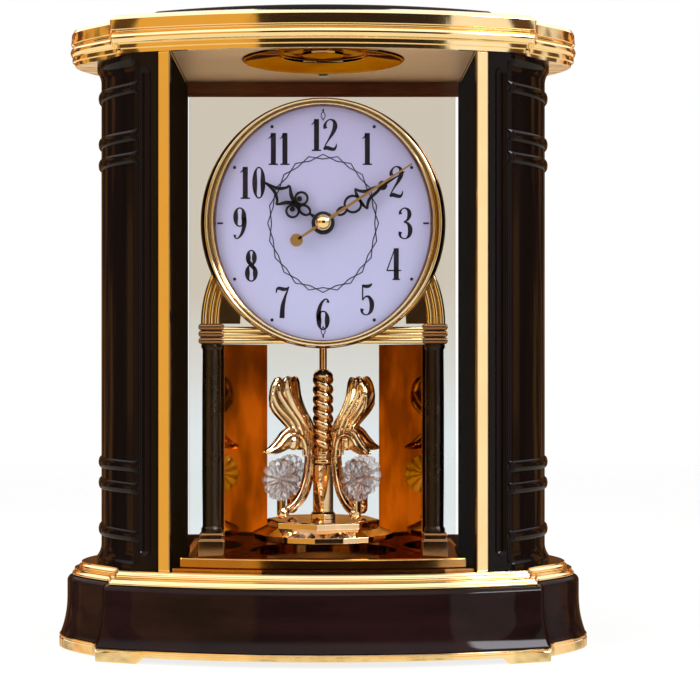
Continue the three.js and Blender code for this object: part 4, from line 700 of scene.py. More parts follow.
strip_back = [(x, bow_y(x, STRIP_BED) - 0.05) for x in (STRIP_OUTER_X - 0.3, CHAMBER_HALF)]
strip_front = [(x, bow_y(x, FACE_INSET - 0.2)) for x in (CHAMBER_HALF, STRIP_OUTER_X - 0.3)]
strip_plan = strip_back + strip_front
strips = Blank().rings([at_height(strip_plan, z) for z in (DECK_Z, SOFFIT_Z)]).both_sides()
strips.piece(
    "gilt_edge_strips", gold, "case", "gold_plate", "right_gilt_strip", "left_gilt_strip",
    edge=0.45,
)

# Front glass: a sheet bent to the bow of the case, standing on the lower moulding and held in the
# pocket of the upper one. Its edges are ground.

GLASS_INSET = 11.4
GLASS_THICKNESS = 1.6
GLASS_HALF = 56.2
GLASS_TOP = 225.3
SQUARE_ON_GLOSS = 0.005
SLANTING_GLOSS = 0.96


def clear_sheet(name, low_tint_and_painted_view, high_tint_and_painted_view, gloss):
    """Clear sheet: a light tint, gloss by angle and faint smears. The tint may change with height,
    which paints in what is seen through the sheet.
    """
    finish = Finish(name)
    smears = finish.cloud(24, 4)
    low = finish.add("ShaderNodeBsdfTransparent", {}, {"Color": low_tint_and_painted_view})
    high = finish.add("ShaderNodeBsdfTransparent", {}, {"Color": high_tint_and_painted_view})
    rise = finish.between(finish.along("Z") + smears * 0.02, 0.09, 0.15)
    through = finish.add("ShaderNodeMixShader", {}, {0: rise, 1: low, 2: high})
    mirror = finish.add("ShaderNodeBsdfGlossy", {}, {"Roughness": smears * 0.03 + gloss})
    slant = finish.add("ShaderNodeLayerWeight", {}, {"Blend": 0.5})["Facing"]
    square = slant * slant
    share = square * square * slant * SLANTING_GLOSS + SQUARE_ON_GLOSS
    return finish.shown(finish.add("ShaderNodeMixShader", {}, {0: share, 1: through, 2: mirror}))


glass = clear_sheet("clear_glass", (0.985, 0.99, 0.985), (0.985, 0.99, 0.985), 0.005)
pane_x = [GLASS_HALF * i / 24 for i in range(-24, 25)]
pane_plan = [(x, bow_y(x, GLASS_INSET)) for x in pane_x]
pane_plan += [(x, bow_y(x, GLASS_INSET + GLASS_THICKNESS)) for x in reversed(pane_x)]
pane = Blank().rings([at_height(pane_plan, z) for z in (DECK_Z, GLASS_TOP)])
pane.piece("bowed_front_glass", glass, "case", "clear_acrylic", "front_glass")

# Upper moulding: a gilt cast frame of steps, a half-round bead, a groove, a plain fascia and a
# bevel. A pocket under it takes the ceiling panel, the rosette, the glass and the rear rail.

MOULDING_TOP = 238.1
POCKET_DEPTH = 2.2
POCKET_INSET = 11
ROSETTE_Y = -12
ROSETTE_RADIUS = 31
ROSETTE_DEPTH = 4.6
PLAY = 0.3


def chamber_plan(front_inset, half_width, rear_y):
    bow = [(half_width * i / 16, bow_y(half_width * i / 16, front_inset)) for i in range(17)]
    return mirrored([*bow, (half_width, rear_y)])


head_rows = [
    (0, 9.4, 3.3), (1.5, 9.4, 3.3), (1.55, 8.3, 3.3), (3.1, 8.3, 3.3), (3.15, 7.5, 1.5),
    *[(z, inset, 1.5) for z, inset in bead(3.35, 7.05, 7.3, 1.5, 16)], (7.3, 7.6, 1.5),
    (7.9, 7.5, 1.5), (8, 5.7, 1.1), (8.2, 5.5, 1), (11.9, 5.5, -0.7), (12.2, 5.7, -0.8),
    (MOULDING_TOP - SOFFIT_Z, 7.6, -1.8),
]
head_rows = [(SOFFIT_Z + rise, inset, swell) for rise, inset, swell in head_rows]
pocket_plan = chamber_plan(POCKET_INSET, CHAMBER_HALF, PILASTER_REAR[1])
pocket = Blank().rings([
    at_height(pocket_plan, z) for z in (SOFFIT_Z - 1, SOFFIT_Z + POCKET_DEPTH)
])
bore = [(ROSETTE_RADIUS + PLAY, SOFFIT_Z), (ROSETTE_RADIUS + PLAY, SOFFIT_Z + ROSETTE_DEPTH + PLAY)]
crown = Blank().rings(case_rings(head_rows, 0.12))
crown.piece(
    "upper_moulding_frame", gold, "case", "gold_plate", "upper_moulding",
    cutters=[pocket, Blank().rings(turned(bore, 48, 0, ROSETTE_Y))],
)

# Top panel: a board of the same lacquered walnut on the upper moulding, smaller all round and
# softened at its edge.

TOP_WIDTH_SHARE = 62.5 / CORNER_X
TOP_DEPTH_SHARE = 49.5 / BACK_Y
board_plan = [(x * TOP_WIDTH_SHARE, y * TOP_DEPTH_SHARE) for x, y in OUTLINE]
board = Blank().rings([
    at_height(set_in(board_plan, inset), MOULDING_TOP + rise)
    for rise, inset in (
        (0, 0.2), (0.25, 0), (0.9, 0.15), (1.3, 0.5), (1.6, 0.95), (1.8, 1.4), (1.9, 2.1), (1.9, 6),
    )
])
board.piece("top_board", walnut, "case", "walnut_gloss", "top_panel", crease=50)

# Ceiling: a satin tan panel under the crown, with a dished and ringed rosette of golden mirror
# over the pendulum, and one screw behind it that holds the panel up.

CEILING_Z = 225.6
CEILING_SCREW_Y = 24


def mirror_sheet(name, bright, deep, edge):
    """Tinted mirror: almost smooth, deeper in slow patches, with a fine haze from polishing. The
    tint named edge shows where it is seen at a flat angle."""
    finish = Finish(name)
    depth = finish.between(finish.cloud(34, 3), 0.4, 0.6)
    haze = finish.cloud(3, 3)
    return finish.surface({
        "Base Color": finish.blend(depth, bright, deep),
        "Metallic": 1.0,
        "Roughness": haze * 0.05 + 0.03,
        "Normal": finish.relief(finish.cloud(26, 1), 0.05),
        "Specular Tint": edge,
    })


golden = mirror_sheet("rosette_mirror", (0.62, 0.33, 0.1), (0.4, 0.18, 0.05), (0.7, 0.4, 0.15))
satin_tan = Finish("ceiling_satin")
brushing = satin_tan.cloud(4, 3, satin_tan.stretched(0.1, 1, 1))
satin_tan.surface({
    "Base Color": satin_tan.blend(satin_tan.cloud(30, 2), (0.92, 0.62, 0.39), (0.76, 0.48, 0.29)),
    "Metallic": 0.6,
    "Roughness": brushing * 0.15 + 0.35,
    "Normal": satin_tan.relief(brushing, 0.01),
})
recoated(satin_tan.material, "ceiling_panel")
dish = [
    (0.01, CEILING_Z + 0.3), (8, CEILING_Z + 1.2), (8.3, CEILING_Z + 2.4), (16.7, CEILING_Z + 2.4),
    (17, CEILING_Z + 1.3), (28.6, CEILING_Z - 0.4), (30, CEILING_Z - 0.95),
    (ROSETTE_RADIUS, CEILING_Z - 0.5), (ROSETTE_RADIUS, SOFFIT_Z + ROSETTE_DEPTH),
    (0.01, SOFFIT_Z + ROSETTE_DEPTH),
]
rosette = Blank().rings(turned(dish, 72, 0, ROSETTE_Y, ease=0.5))
rosette.piece("ringed_rosette", golden, "case", "amber_mirror", "ceiling_rosette")
dome = [(0.01, -1.5), (0.8, -1.42), (1.5, -1.2), (2.1, -0.75), (2.45, 0), (0.01, 0)]
ceiling_screw = Blank().rings(turned(dome, 24, 0, CEILING_SCREW_Y, CEILING_Z))
ceiling_screw.piece("ceiling_fixing_screw", steel, "case", "steel", "ceiling_screw")

# Rear opening: two lacquered rails, each with a lip that stops the door, and a door of clear
# acrylic between them. The door has a turned gilt pull and swings on the pins of its right edge.

PULL_X = -47
DOOR_BACK_Y = 52.3

rail = lacquered_wood("rail_lacquer", (0.3, 0.08, 0.03), (0.1, 0.026, 0.012), (0.1, 1, 1))
recoated(rail, "rear_bottom_rail", "rear_top_rail")
# Painted view: the door's tint runs from bluish white low down to beige higher up, standing in for
# what is seen through it as well as the acrylic's own faint tint.
acrylic = clear_sheet("clear_acrylic", (0.88, 0.91, 0.92), (0.8, 0.755, 0.69), 0.01)
recoated(acrylic, "rear_door")
pull = [
    (0.01, 0), (2.6, 0), (2.5, 0.5), (1.8, 0.9), (1.9, 1.5), (3.3, 2.5), (3.8, 3.4), (3.2, 4.4),
    (1.4, 4.7), (0.01, 4.7),
]
pull_rings = turned(pull, 32, PULL_X, 0, MID_Z, ease=0.4, forward=True)
knob = [[(x, DOOR_BACK_Y - y, z) for x, y, z in ring] for ring in pull_rings]
Blank().rings(knob).piece("door_pull_knob", gold, "door", "gold_plate", "rear_door_pull")

# Chamber base: a gilt platform on the gilt floor plate, with a round recess that the pendulum's
# plate turns in. Two columns stand on it: a block, a lacquered shaft and a ribbed capital each.

FLOOR_Z = 33.7
BASE_TOP = 37.4
BASE_INSET = 16.8
BASE_HALF = 53
BASE_REAR_Y = 40
PENDULUM_Y = -7.5
RECESS_RADIUS = 28.2
COLUMN_X = 41.7
COLUMN_Y = -28.5
SHAFT_BOTTOM = 46.4
SHAFT_RADIUS = 3.85
CAPITAL_BOTTOM = 116.6
CAPITAL_TOP = 124.2
CAPITAL_HALF = 4.65

polished = Finish("platform_gilt")
off_axis = polished.add("ShaderNodeVectorMath", {"operation": "DISTANCE"}, {
    0: polished.stretched(1, 1, 0), 1: (0, PENDULUM_Y * MM, 0),
})
# Painted shade: inside the recess under the pendulum's plate the base colour goes near black,
# standing in for the shade there.
recess_painted_shade = polished.between(
    off_axis["Value"], (RECESS_RADIUS + 0.05) * MM, (RECESS_RADIUS - 0.1) * MM,
)
wear = polished.cloud(14, 4)
gilt = polished.blend(wear, (0.7, 0.4, 0.14), (0.36, 0.17, 0.05))
polished.surface({
    "Base Color": polished.blend(recess_painted_shade, gilt, (0.03, 0.018, 0.012)),
    "Metallic": 1.0,
    "Roughness": wear * 0.1 + 0.05,
    "Normal": polished.relief(polished.cloud(7, 1), 0.04),
    "Specular Tint": (0.85, 0.5, 0.2),
})
recoated(polished.material, "floor_plate")
base_plan = chamber_plan(BASE_INSET, BASE_HALF, BASE_REAR_Y)
base_rows = [
    (FLOOR_Z, 3), (FLOOR_Z, 0.3), (FLOOR_Z + 0.3, 0), (BASE_TOP - 0.7, 0), (BASE_TOP - 0.2, 0.2),
    (BASE_TOP, 0.7), (BASE_TOP, 3),
]
recess = turned([(RECESS_RADIUS, BASE_TOP - 2), (RECESS_RADIUS, BASE_TOP + 1)], 72, 0, PENDULUM_Y)
platform = Blank().rings([at_height(set_in(base_plan, inset), z) for z, inset in base_rows])
platform.piece(
    "chamber_platform", polished.material, "case", "gold_plate", "chamber_base",
    cutters=[Blank().rings(recess)],
)


def square_rings(x, y, rows, ease):
    """Squares with softened corners, from half widths and heights."""
    rings = []
    for half, z in rows:
        square = [(x + i * half, y + j * half) for i, j in ((-1, -1), (1, -1), (1, 1), (-1, 1))]
        rings.append(at_height(eased(square, ease, True), z))
    return rings


block_rows = eased([
    (3, BASE_TOP), (5, BASE_TOP), (5, BASE_TOP + 6), (4.5, BASE_TOP + 6.6), (4.5, BASE_TOP + 8.2),
    (4.1, SHAFT_BOTTOM), (2, SHAFT_BOTTOM),
], 0.35, False)
deep_gold = plated("capital_gilt", (0.34, 0.18, 0.08), (0.2, 0.09, 0.04), 0.1, 0.2, 0.05)
blocks = Blank().rings(square_rings(COLUMN_X, COLUMN_Y, block_rows, 0.6)).both_sides()
blocks.piece(
    "column_blocks", deep_gold, "case", "gold_plate", "left_column_base", "right_column_base",
)

half_shaft = [
    (2, 0), (SHAFT_RADIUS, 0), (SHAFT_RADIUS, 1.4), (SHAFT_RADIUS - 0.5, 2),
    (SHAFT_RADIUS - 0.35, 20),
]
shaft_rows = [(radius, SHAFT_BOTTOM + rise) for radius, rise in half_shaft]
shaft_rows += [(radius, CAPITAL_BOTTOM - rise) for radius, rise in reversed(half_shaft)]
bronze = plated("dark_bronze", (0.06, 0.043, 0.035), (0.03, 0.02, 0.016), 0.2, 0.34, 0.06)
shafts = Blank().rings(turned(shaft_rows, 48, COLUMN_X, COLUMN_Y, ease=0.4)).both_sides()
shafts.piece(
    "column_shafts", bronze, "case", "black_gloss", "left_inner_column", "right_inner_column",
)

rib_height = (CAPITAL_TOP - CAPITAL_BOTTOM) / 3
neck = CAPITAL_HALF - 0.8
rib_rows = [(2, 0), (neck, 0)]
rib_rows += [(inset, z) for z, inset in bead(0.1, rib_height - 0.1, neck, -0.8, 8)]
rib_rows += [(neck, rib_height), (2, rib_height)]
capitals = Former("column_capitals")
rib = capitals.given(Blank().rings(square_rings(0, 0, rib_rows, 0.5)).object("capital_rib"))
step = capitals.size("Rib height", (0.0, 0.0, rib_height * MM))
count = capitals.size("Ribs", 3)
ribs = capitals.placed(
    capitals.add("GeometryNodeMeshLine", {}, {"Count": count, "Offset": step}), rib,
)
pair = []
for side, name in ((-1, "Left foot"), (1, "Right foot")):
    foot = capitals.size(name, (side * COLUMN_X * MM, COLUMN_Y * MM, CAPITAL_BOTTOM * MM))
    pair.append(capitals.moved(ribs, foot))
capitals.piece(
    capitals.joined(*pair), deep_gold, "case", "gold_plate", "left_capital", "right_capital",
)

# Mirror panels: two amber acrylic mirrors that close in behind the pendulum and show its swans
# again. They stand in the platform and under the dial's carrier.

MIRROR_FRONT = Vector((37.2, -23))
MIRROR_REAR = Vector((22.5, 27.5))
MIRROR_THICKNESS = 1.8
amber = mirror_sheet("amber_mirror", (0.72, 0.33, 0.09), (0.2, 0.085, 0.028), (0.85, 0.55, 0.28))
way = (MIRROR_REAR - MIRROR_FRONT).normalized()
outwards = Vector((way.y, -way.x)) * MIRROR_THICKNESS
mirror_plan = [MIRROR_FRONT, MIRROR_FRONT + outwards, MIRROR_REAR + outwards, MIRROR_REAR]
mirrors = Blank().rings([
    at_height(mirror_plan, z) for z in (BASE_TOP, CAPITAL_BOTTOM)
]).both_sides()
mirrors.piece(
    "mirror_panels", amber, "case", "amber_mirror", "left_mirror_panel", "right_mirror_panel",
    edge=0.3,
)

# Lintel and arch: gilt castings on the capitals. The lintel is three reeds high, and three reeds
# follow the arch, whose plate widens behind them into the carrier of the dial.

DIAL_Z = 161.5
CARRIER_Y = -30.5
CARRIER_RADII = (43.6, 44.6)
ARCH_FRONT_Y = -30
ARCH_BACK_Y = -27
ARCH_INNER = 31
ARCH_OUTER = 45.6
ARCH_BAND = 7
LINTEL_Y = (-29.4, -27.3)
LINTEL_HALF = 37.05
LINTEL_BOTTOM = 116.8
LINTEL_TOP = 123.1
REED_RADIUS = 1.08
REED_PROUD = 0.8

reed = (LINTEL_TOP - LINTEL_BOTTOM) / 3
lintel_line = [(LINTEL_Y[1], LINTEL_BOTTOM), (LINTEL_Y[0], LINTEL_BOTTOM)]
for i in range(3):
    for j in range(1, 12):
        angle = math.pi * j / 12
        z = LINTEL_BOTTOM + reed * (i + (1 - math.cos(angle)) / 2)
        lintel_line.append((LINTEL_Y[0] - REED_PROUD * math.sin(angle), z))
lintel_line += [(LINTEL_Y[0], LINTEL_TOP), (LINTEL_Y[1], LINTEL_TOP)]
lintel = Blank().rings([[(x, y, z) for y, z in lintel_line] for x in (-LINTEL_HALF, LINTEL_HALF)])
lintel.piece("three_reed_lintel", gold, "case", "gold_plate", "reeded_lintel", crease=50)

plate = Blank()
arc = [math.pi * i / 60 for i in range(61)]
band = (
    (ARCH_INNER, ARCH_FRONT_Y), (ARCH_OUTER, ARCH_FRONT_Y), (ARCH_OUTER, ARCH_BACK_Y),
    (ARCH_INNER, ARCH_BACK_Y),
)
plate.rings([
    [(r * math.cos(a), y, CAPITAL_TOP + r * math.sin(a)) for r, y in band] for a in arc
])
wide, high = CARRIER_RADII
carrier_start = -math.asin((DIAL_Z - CAPITAL_TOP) / high)
arc = [carrier_start + (math.pi - 2 * carrier_start) * i / 72 for i in range(73)]
band = [(0.75, CARRIER_Y + 0.1), (1, CARRIER_Y + 0.1)]
band += [(share, ARCH_BACK_Y - 0.05) for share in (1, 0.75)]
plate.rings([
    [(wide * s * math.cos(a), y, DIAL_Z + high * s * math.sin(a)) for s, y in band] for a in arc
])
carrier = plate.object("arch_plate_blank")
arch = Former("dial_arch_plate")
reeds = [arch.given(carrier)]
for i in range(3):
    radius = arch.size(f"Reed {i + 1} radius", (ARCH_OUTER - ARCH_BAND / 3 * (i + 0.5)) * MM)
    values = {"Resolution": 72, "Radius": radius, "Sweep Angle": math.pi}
    path = arch.add("GeometryNodeCurveArc", {}, values)
    reeds.append(arch.swept(path, 16, REED_RADIUS * MM))
place = (0, (ARCH_FRONT_Y + 0.3) * MM, CAPITAL_TOP * MM)
raised = arch.moved(arch.joined(*reeds[1:]), place, (math.pi / 2, 0, 0), (1, 1, 0.78))
arch.piece(arch.joined(reeds[0], raised), gold, "case", "gold_plate", "dial_arch")

# Movement: a quartz movement screwed behind the dial by the nut of its bushing, with a bay for its
# cell, spring contacts and a knob that sets the hands. A moulded cup covers the back of the dial,
# and the drive under it turns the pendulum.

MOVEMENT_HALF = 28
MOVEMENT_BACK_Y = -13
MOVEMENT_Z = (133.5, 189.5)
BAY_HALF = 26.6
BAY_FLOOR_Y = -28.4
BAY_Z = (136, 152)
CELL_Z = 144
CELL_Y = -21
CELL_RADIUS = 7.1
CELL_HALF = 24.7
CELL_BAND_X = 12.5
CELL_BARE_X = (-24.1, 23.6)
KNOB_Y = -12.7
KNOB_Z = 176
WELL_RADIUS = 8.4
WELL_FLOOR = 13.6
LEDGE_HALF = 25.5
LEDGE_Y = -13.5
LEDGE_Z = (154, 155.2)
CUP_RADII = (42, 43)
DRIVE_HALF = 15
DRIVE_BACK_Y = -1
DRIVE_Z = (120, 132.5)


def box_rings(half, y, z):
    """A box of a half width between pairs of limits."""
    plan = [(-half, y[0]), (half, y[0]), (half, y[1]), (-half, y[1])]
    return [at_height(plan, height) for height in z]


def on_axis(profile, steps, ease):
    """A turned shape on the dial's axis, from radii and distances towards the viewer."""
    return Blank().rings(turned(profile, steps, 0, 0, DIAL_Z, ease, True))


body = Blank().rings(box_rings(MOVEMENT_HALF, (CARRIER_Y, MOVEMENT_BACK_Y), MOVEMENT_Z))
bay = Blank().rings(box_rings(BAY_HALF, (BAY_FLOOR_Y, 0), BAY_Z))
well = turned([(WELL_RADIUS, 10), (WELL_RADIUS, WELL_FLOOR)], 48, 0, 0, KNOB_Z, forward=True)
ledge = Blank().rings(box_rings(LEDGE_HALF, (LEDGE_Y, 0), LEDGE_Z))
body.piece(
    "movement_body", plastic, "case", "movement_plastic", "movement_case",
    edge=0.6, cutters=[bay, Blank().rings(well), ledge],
)
bushing = on_axis([(0.01, 28), (3.8, 28), (3.8, 33.3), (3.4, 33.6), (0.01, 33.6)], 32, 0.1)
bushing.piece("threaded_bushing", bronze, "case", "steel")
nut = on_axis([(0.01, 32.05), (4.2, 32.05), (4.2, 33.3), (3.8, 33.7), (0.01, 33.7)], 40, 0.15)
nut.piece("round_nut", bronze, "case", "steel", "fixing_nut")
recoated(steel, "positive_contact")


def elliptical_rings(rows, radii, steps):
    """Ellipses about the dial's centre, from an inset and a depth each."""
    rings = []
    for inset, y in rows:
        a, b = radii[0] - inset, radii[1] - inset
        angles = [2 * math.pi * i / steps for i in range(steps)]
        rings.append([(a * math.cos(t), y, DIAL_Z + b * math.sin(t)) for t in angles])
    return rings


cup_rows = eased([(8, -27), (0, -27), (0, -24), (0.8, -23.6), (0.8, -13), (8, -13)], 1.2, False)
window_z = (MOVEMENT_Z[0] - PLAY, MOVEMENT_Z[1] + PLAY)
window = Blank().rings(box_rings(MOVEMENT_HALF + PLAY, (-30, 0), window_z))
cup = Blank().rings(elliptical_rings(cup_rows, CUP_RADII, 96))
cup.piece("dial_back_cup", plastic, "case", "movement_plastic", "dial_housing", cutters=[window])

cell = Finish("battery_jacket")
end = cell.along("X")
in_band = cell.between(end, CELL_BAND_X * MM, (CELL_BAND_X + 0.2) * MM)
jacket = cell.blend(in_band, (0.02, 0.022, 0.026), (0.5, 0.2, 0.07))
bare = cell.between(end, CELL_BARE_X[1] * MM, (CELL_BARE_X[1] + 0.1) * MM)
bare = bare + cell.between(end, CELL_BARE_X[0] * MM, (CELL_BARE_X[0] - 0.1) * MM)
scuffs = cell.cloud(2.5, 4)
cell.surface({
    "Base Color": cell.blend(bare, jacket, (0.6, 0.6, 0.58)),
    "Metallic": bare * 0.4 + 0.6,
    "Roughness": scuffs * 0.25 + 0.18,
    "Normal": cell.relief(scuffs, 0.01),
})
can = [
    (0.01, -CELL_HALF), (4.5, -CELL_HALF), (4.7, -CELL_HALF + 0.4), (6.6, -CELL_HALF + 0.4),
    (CELL_RADIUS, -CELL_HALF + 0.9), (CELL_RADIUS, CELL_HALF - 1.6), (6.5, CELL_HALF - 1),
    (2.7, CELL_HALF - 1), (2.6, CELL_HALF - 0.1), (0.01, CELL_HALF),
]
can = [[(z, CELL_Y + y, CELL_Z + x) for x, y, z in ring] for ring in turned(can, 40, ease=0.25)]
Blank().rings(can).piece("cell", cell.material, "case", "battery_jacket", "battery")

spring = Former("negative_spring")
coil = spring.add("GeometryNodeCurveSpiral", {}, {
    "Resolution": 28,
    "Rotations": spring.size("Turns", 3.0),
    "Start Radius": spring.size("Wide end", 0.0042),
    "End Radius": spring.size("Narrow end", 0.002),
    "Height": spring.size("Length", 0.0011),
})
wound = spring.swept(coil, 8, spring.size("Wire", 0.0003))
footing = spring.add("GeometryNodeMeshCube", {}, {"Size": (0.0098, 0.0098, 0.0003)})
contact = spring.joined(wound, spring.moved(footing, (0, 0, -0.00015)))
place = ((0.3 - BAY_HALF) * MM, CELL_Y * MM, CELL_Z * MM)
seat = spring.moved(contact, place, (0, math.pi / 2, 0))
spring.piece(seat, steel, "case", "steel", "negative_contact")

grip = Former("setting_knob_grip")
core_rows = [(0.01, 0), (5.2, 0), (5.2, 4), (4.6, 4.5), (2, 4.5), (1.8, 4.1), (0.01, 4.1)]
core = grip.given(Blank().rings(turned(core_rows, 40, ease=0.25)).object("knob_core"))
ring = grip.add("GeometryNodeMeshCircle", {}, {
    "Vertices": grip.size("Ribs", 24), "Radius": grip.size("Reach", 0.0052),
})
rib = grip.add("GeometryNodeMeshCylinder", {}, {
    "Vertices": 10, "Radius": grip.size("Rib", 0.0007), "Depth": 0.0043,
})
ribs = grip.moved(grip.placed(ring, rib), (0, 0, 0.0022))
seat = grip.moved(grip.joined(core, ribs), (0, KNOB_Y * MM, KNOB_Z * MM), (-math.pi / 2, 0, 0))
grip.piece(seat, plastic, "knob", "movement_plastic", "setting_knob")

drive = Blank().rings(box_rings(DRIVE_HALF, (MOVEMENT_BACK_Y, DRIVE_BACK_Y), DRIVE_Z))
drive.piece("drive_body", plastic, "case", "movement_plastic", "pendulum_drive", edge=0.9)
boss = [(0.01, 118.4), (1.9, 118.4), (2.4, 118.9), (2.4, 119.6), (3.6, 120.2), (0.01, 120.2)]
boss = Blank().rings(turned(boss, 32, 0, PENDULUM_Y, ease=0.2))
boss.piece("drive_boss", plastic, "case", "movement_plastic")

# Dial: an oval metal plate with a satin lavender print, raised numerals and dots, and a ring of
# two interlaced twelve-sided lines. The gilt bezel is a turned and plated casting round it.

DIAL_Y = -32
FACE_RADII = (41.2, 44.15)
INK = 0.07
NUMERAL_HEIGHT = 11.9
STEM = 1.88
HAIR = 0.52
NUMERAL_PLACES = (
    (0, 32.9), (16.3, 27.7), (27.2, 15.4), (30.5, 0), (26.3, -15.1), (16.3, -28.3),
    (0, -33.8), (-15.1, -29.4), (-26.7, -15.8), (-31, 0), (-26.5, 15.1), (-16.5, 27.7),
)
BOWL = 1.85
DIGIT_STEP = 5.2
ELEVEN_STEP = 4.3
DOT_RADII = (38, 41.5)
RING_RADII = (19.9, 24.8)
SPADE_REACH = 41.6
BAR_REACH = (37.2, 39.4)

satin = Finish("dial_face")
up = satin.along("Z")
# Painted light and shade: the print is lighter and bluer low down and darker higher up, standing in
# for the light that falls on the lower dial. The pearl clouds are the print's own.
painted_shade_upwards = satin.between(up, 0.1185, 0.204)
pearl = satin.cloud(18, 3)
weave = satin.cloud(0.45, 2)
ground = satin.blend(painted_shade_upwards * 0.8 + pearl * 0.2, (0.44, 0.45, 0.69), (0.37, 0.33, 0.52))
satin.surface({
    "Base Color": ground,
    "Metallic": 0.06,
    "Roughness": pearl * 0.12 + 0.34,
    "Normal": satin.relief(weave, 0.012),
    "Coat Weight": 0.25,
})
face_rows = [(10, CARRIER_Y), (0, CARRIER_Y), (0, DIAL_Y + 0.2), (0.2, DIAL_Y), (10, DIAL_Y)]
face = Blank().rings(elliptical_rings(face_rows, FACE_RADII, 120))
face.piece("dial_face_plate", satin.material, "case", "dial_face", "dial_plate")


def smooth_line(stations, steps):
    """A smooth line through stations of any number of values each."""
    ends = [stations[0], *stations, stations[-1]]
    line = []
    for i in range(len(stations) - 1):
        a, b, c, d = ends[i:i + 4]
        for j in range(steps):
            t = j / steps
            shares = (
                -0.5 * t ** 3 + t ** 2 - 0.5 * t,
                1.5 * t ** 3 - 2.5 * t ** 2 + 1,
                -1.5 * t ** 3 + 2 * t ** 2 + 0.5 * t,
                0.5 * t ** 3 - 0.5 * t ** 2,
            )
            line.append(shared(shares, (a, b, c, d)))
    return [*line, tuple(stations[-1])]


def directions(line):
    """The way that a line runs at each of its points."""
    ways = []
    for i in range(len(line)):
        before, after = line[max(i - 1, 0)], line[min(i + 1, len(line) - 1)]
        ways.append(Vector((after[0] - before[0], after[1] - before[1])).normalized())
    return ways


class Drawing(Blank):
    """Flat shapes drawn with a broad pen in x and z, then given a thickness in y."""

    def __init__(self, front, back):
        super().__init__()
        self.front = front
        self.back = back

    def at(self, place, turn=0.0):
        """Sets where the next strokes start from, and their turn clockwise."""
        self.place = place
        self.turn = turn
        return self

    def laid(self, edges, loop):
        """Joins pairs of left and right points into a band."""
        cosine, sine = math.cos(self.turn), math.sin(self.turn)
        across, up = self.place
        rings = []
        for left, right in edges:
            front = [(left, self.front), (right, self.front)]
            rings.append([
                (across + x * cosine + z * sine, y, up - x * sine + z * cosine)
                for (x, z), y in (*front, (right, self.back), (left, self.back))
            ])
        return self.rings(rings, loop)

    def pen(self, stations, steps=6):
        line = smooth_line(stations, steps) if len(stations) > 2 else stations
        edges = []
        for (x, z, width), way in zip(line, directions(line)):
            side, rise = way.y * width / 2, way.x * width / 2
            edges.append(((x - side, z + rise), (x + side, z - rise)))
        return self.laid(edges, False)

    def ring(self, x, z, radii, thick, thin, steps=32):
        edges = []
        for i in range(steps):
            angle = 2 * math.pi * i / steps
            cosine, sine = math.cos(angle), math.sin(angle)
            width = thin + (thick - thin) * abs(cosine) ** 1.3
            outer_edge = (x + radii[0] * cosine, z + radii[1] * sine)
            inner_edge = (x + (radii[0] - width) * cosine, z + (radii[1] - thin) * sine)
            edges.append((outer_edge, inner_edge))
        return self.laid(edges, True)

    def dot(self, x, z, radius):
        return self.ring(x, z, (radius, radius), radius - 0.01, radius - 0.01, 20)


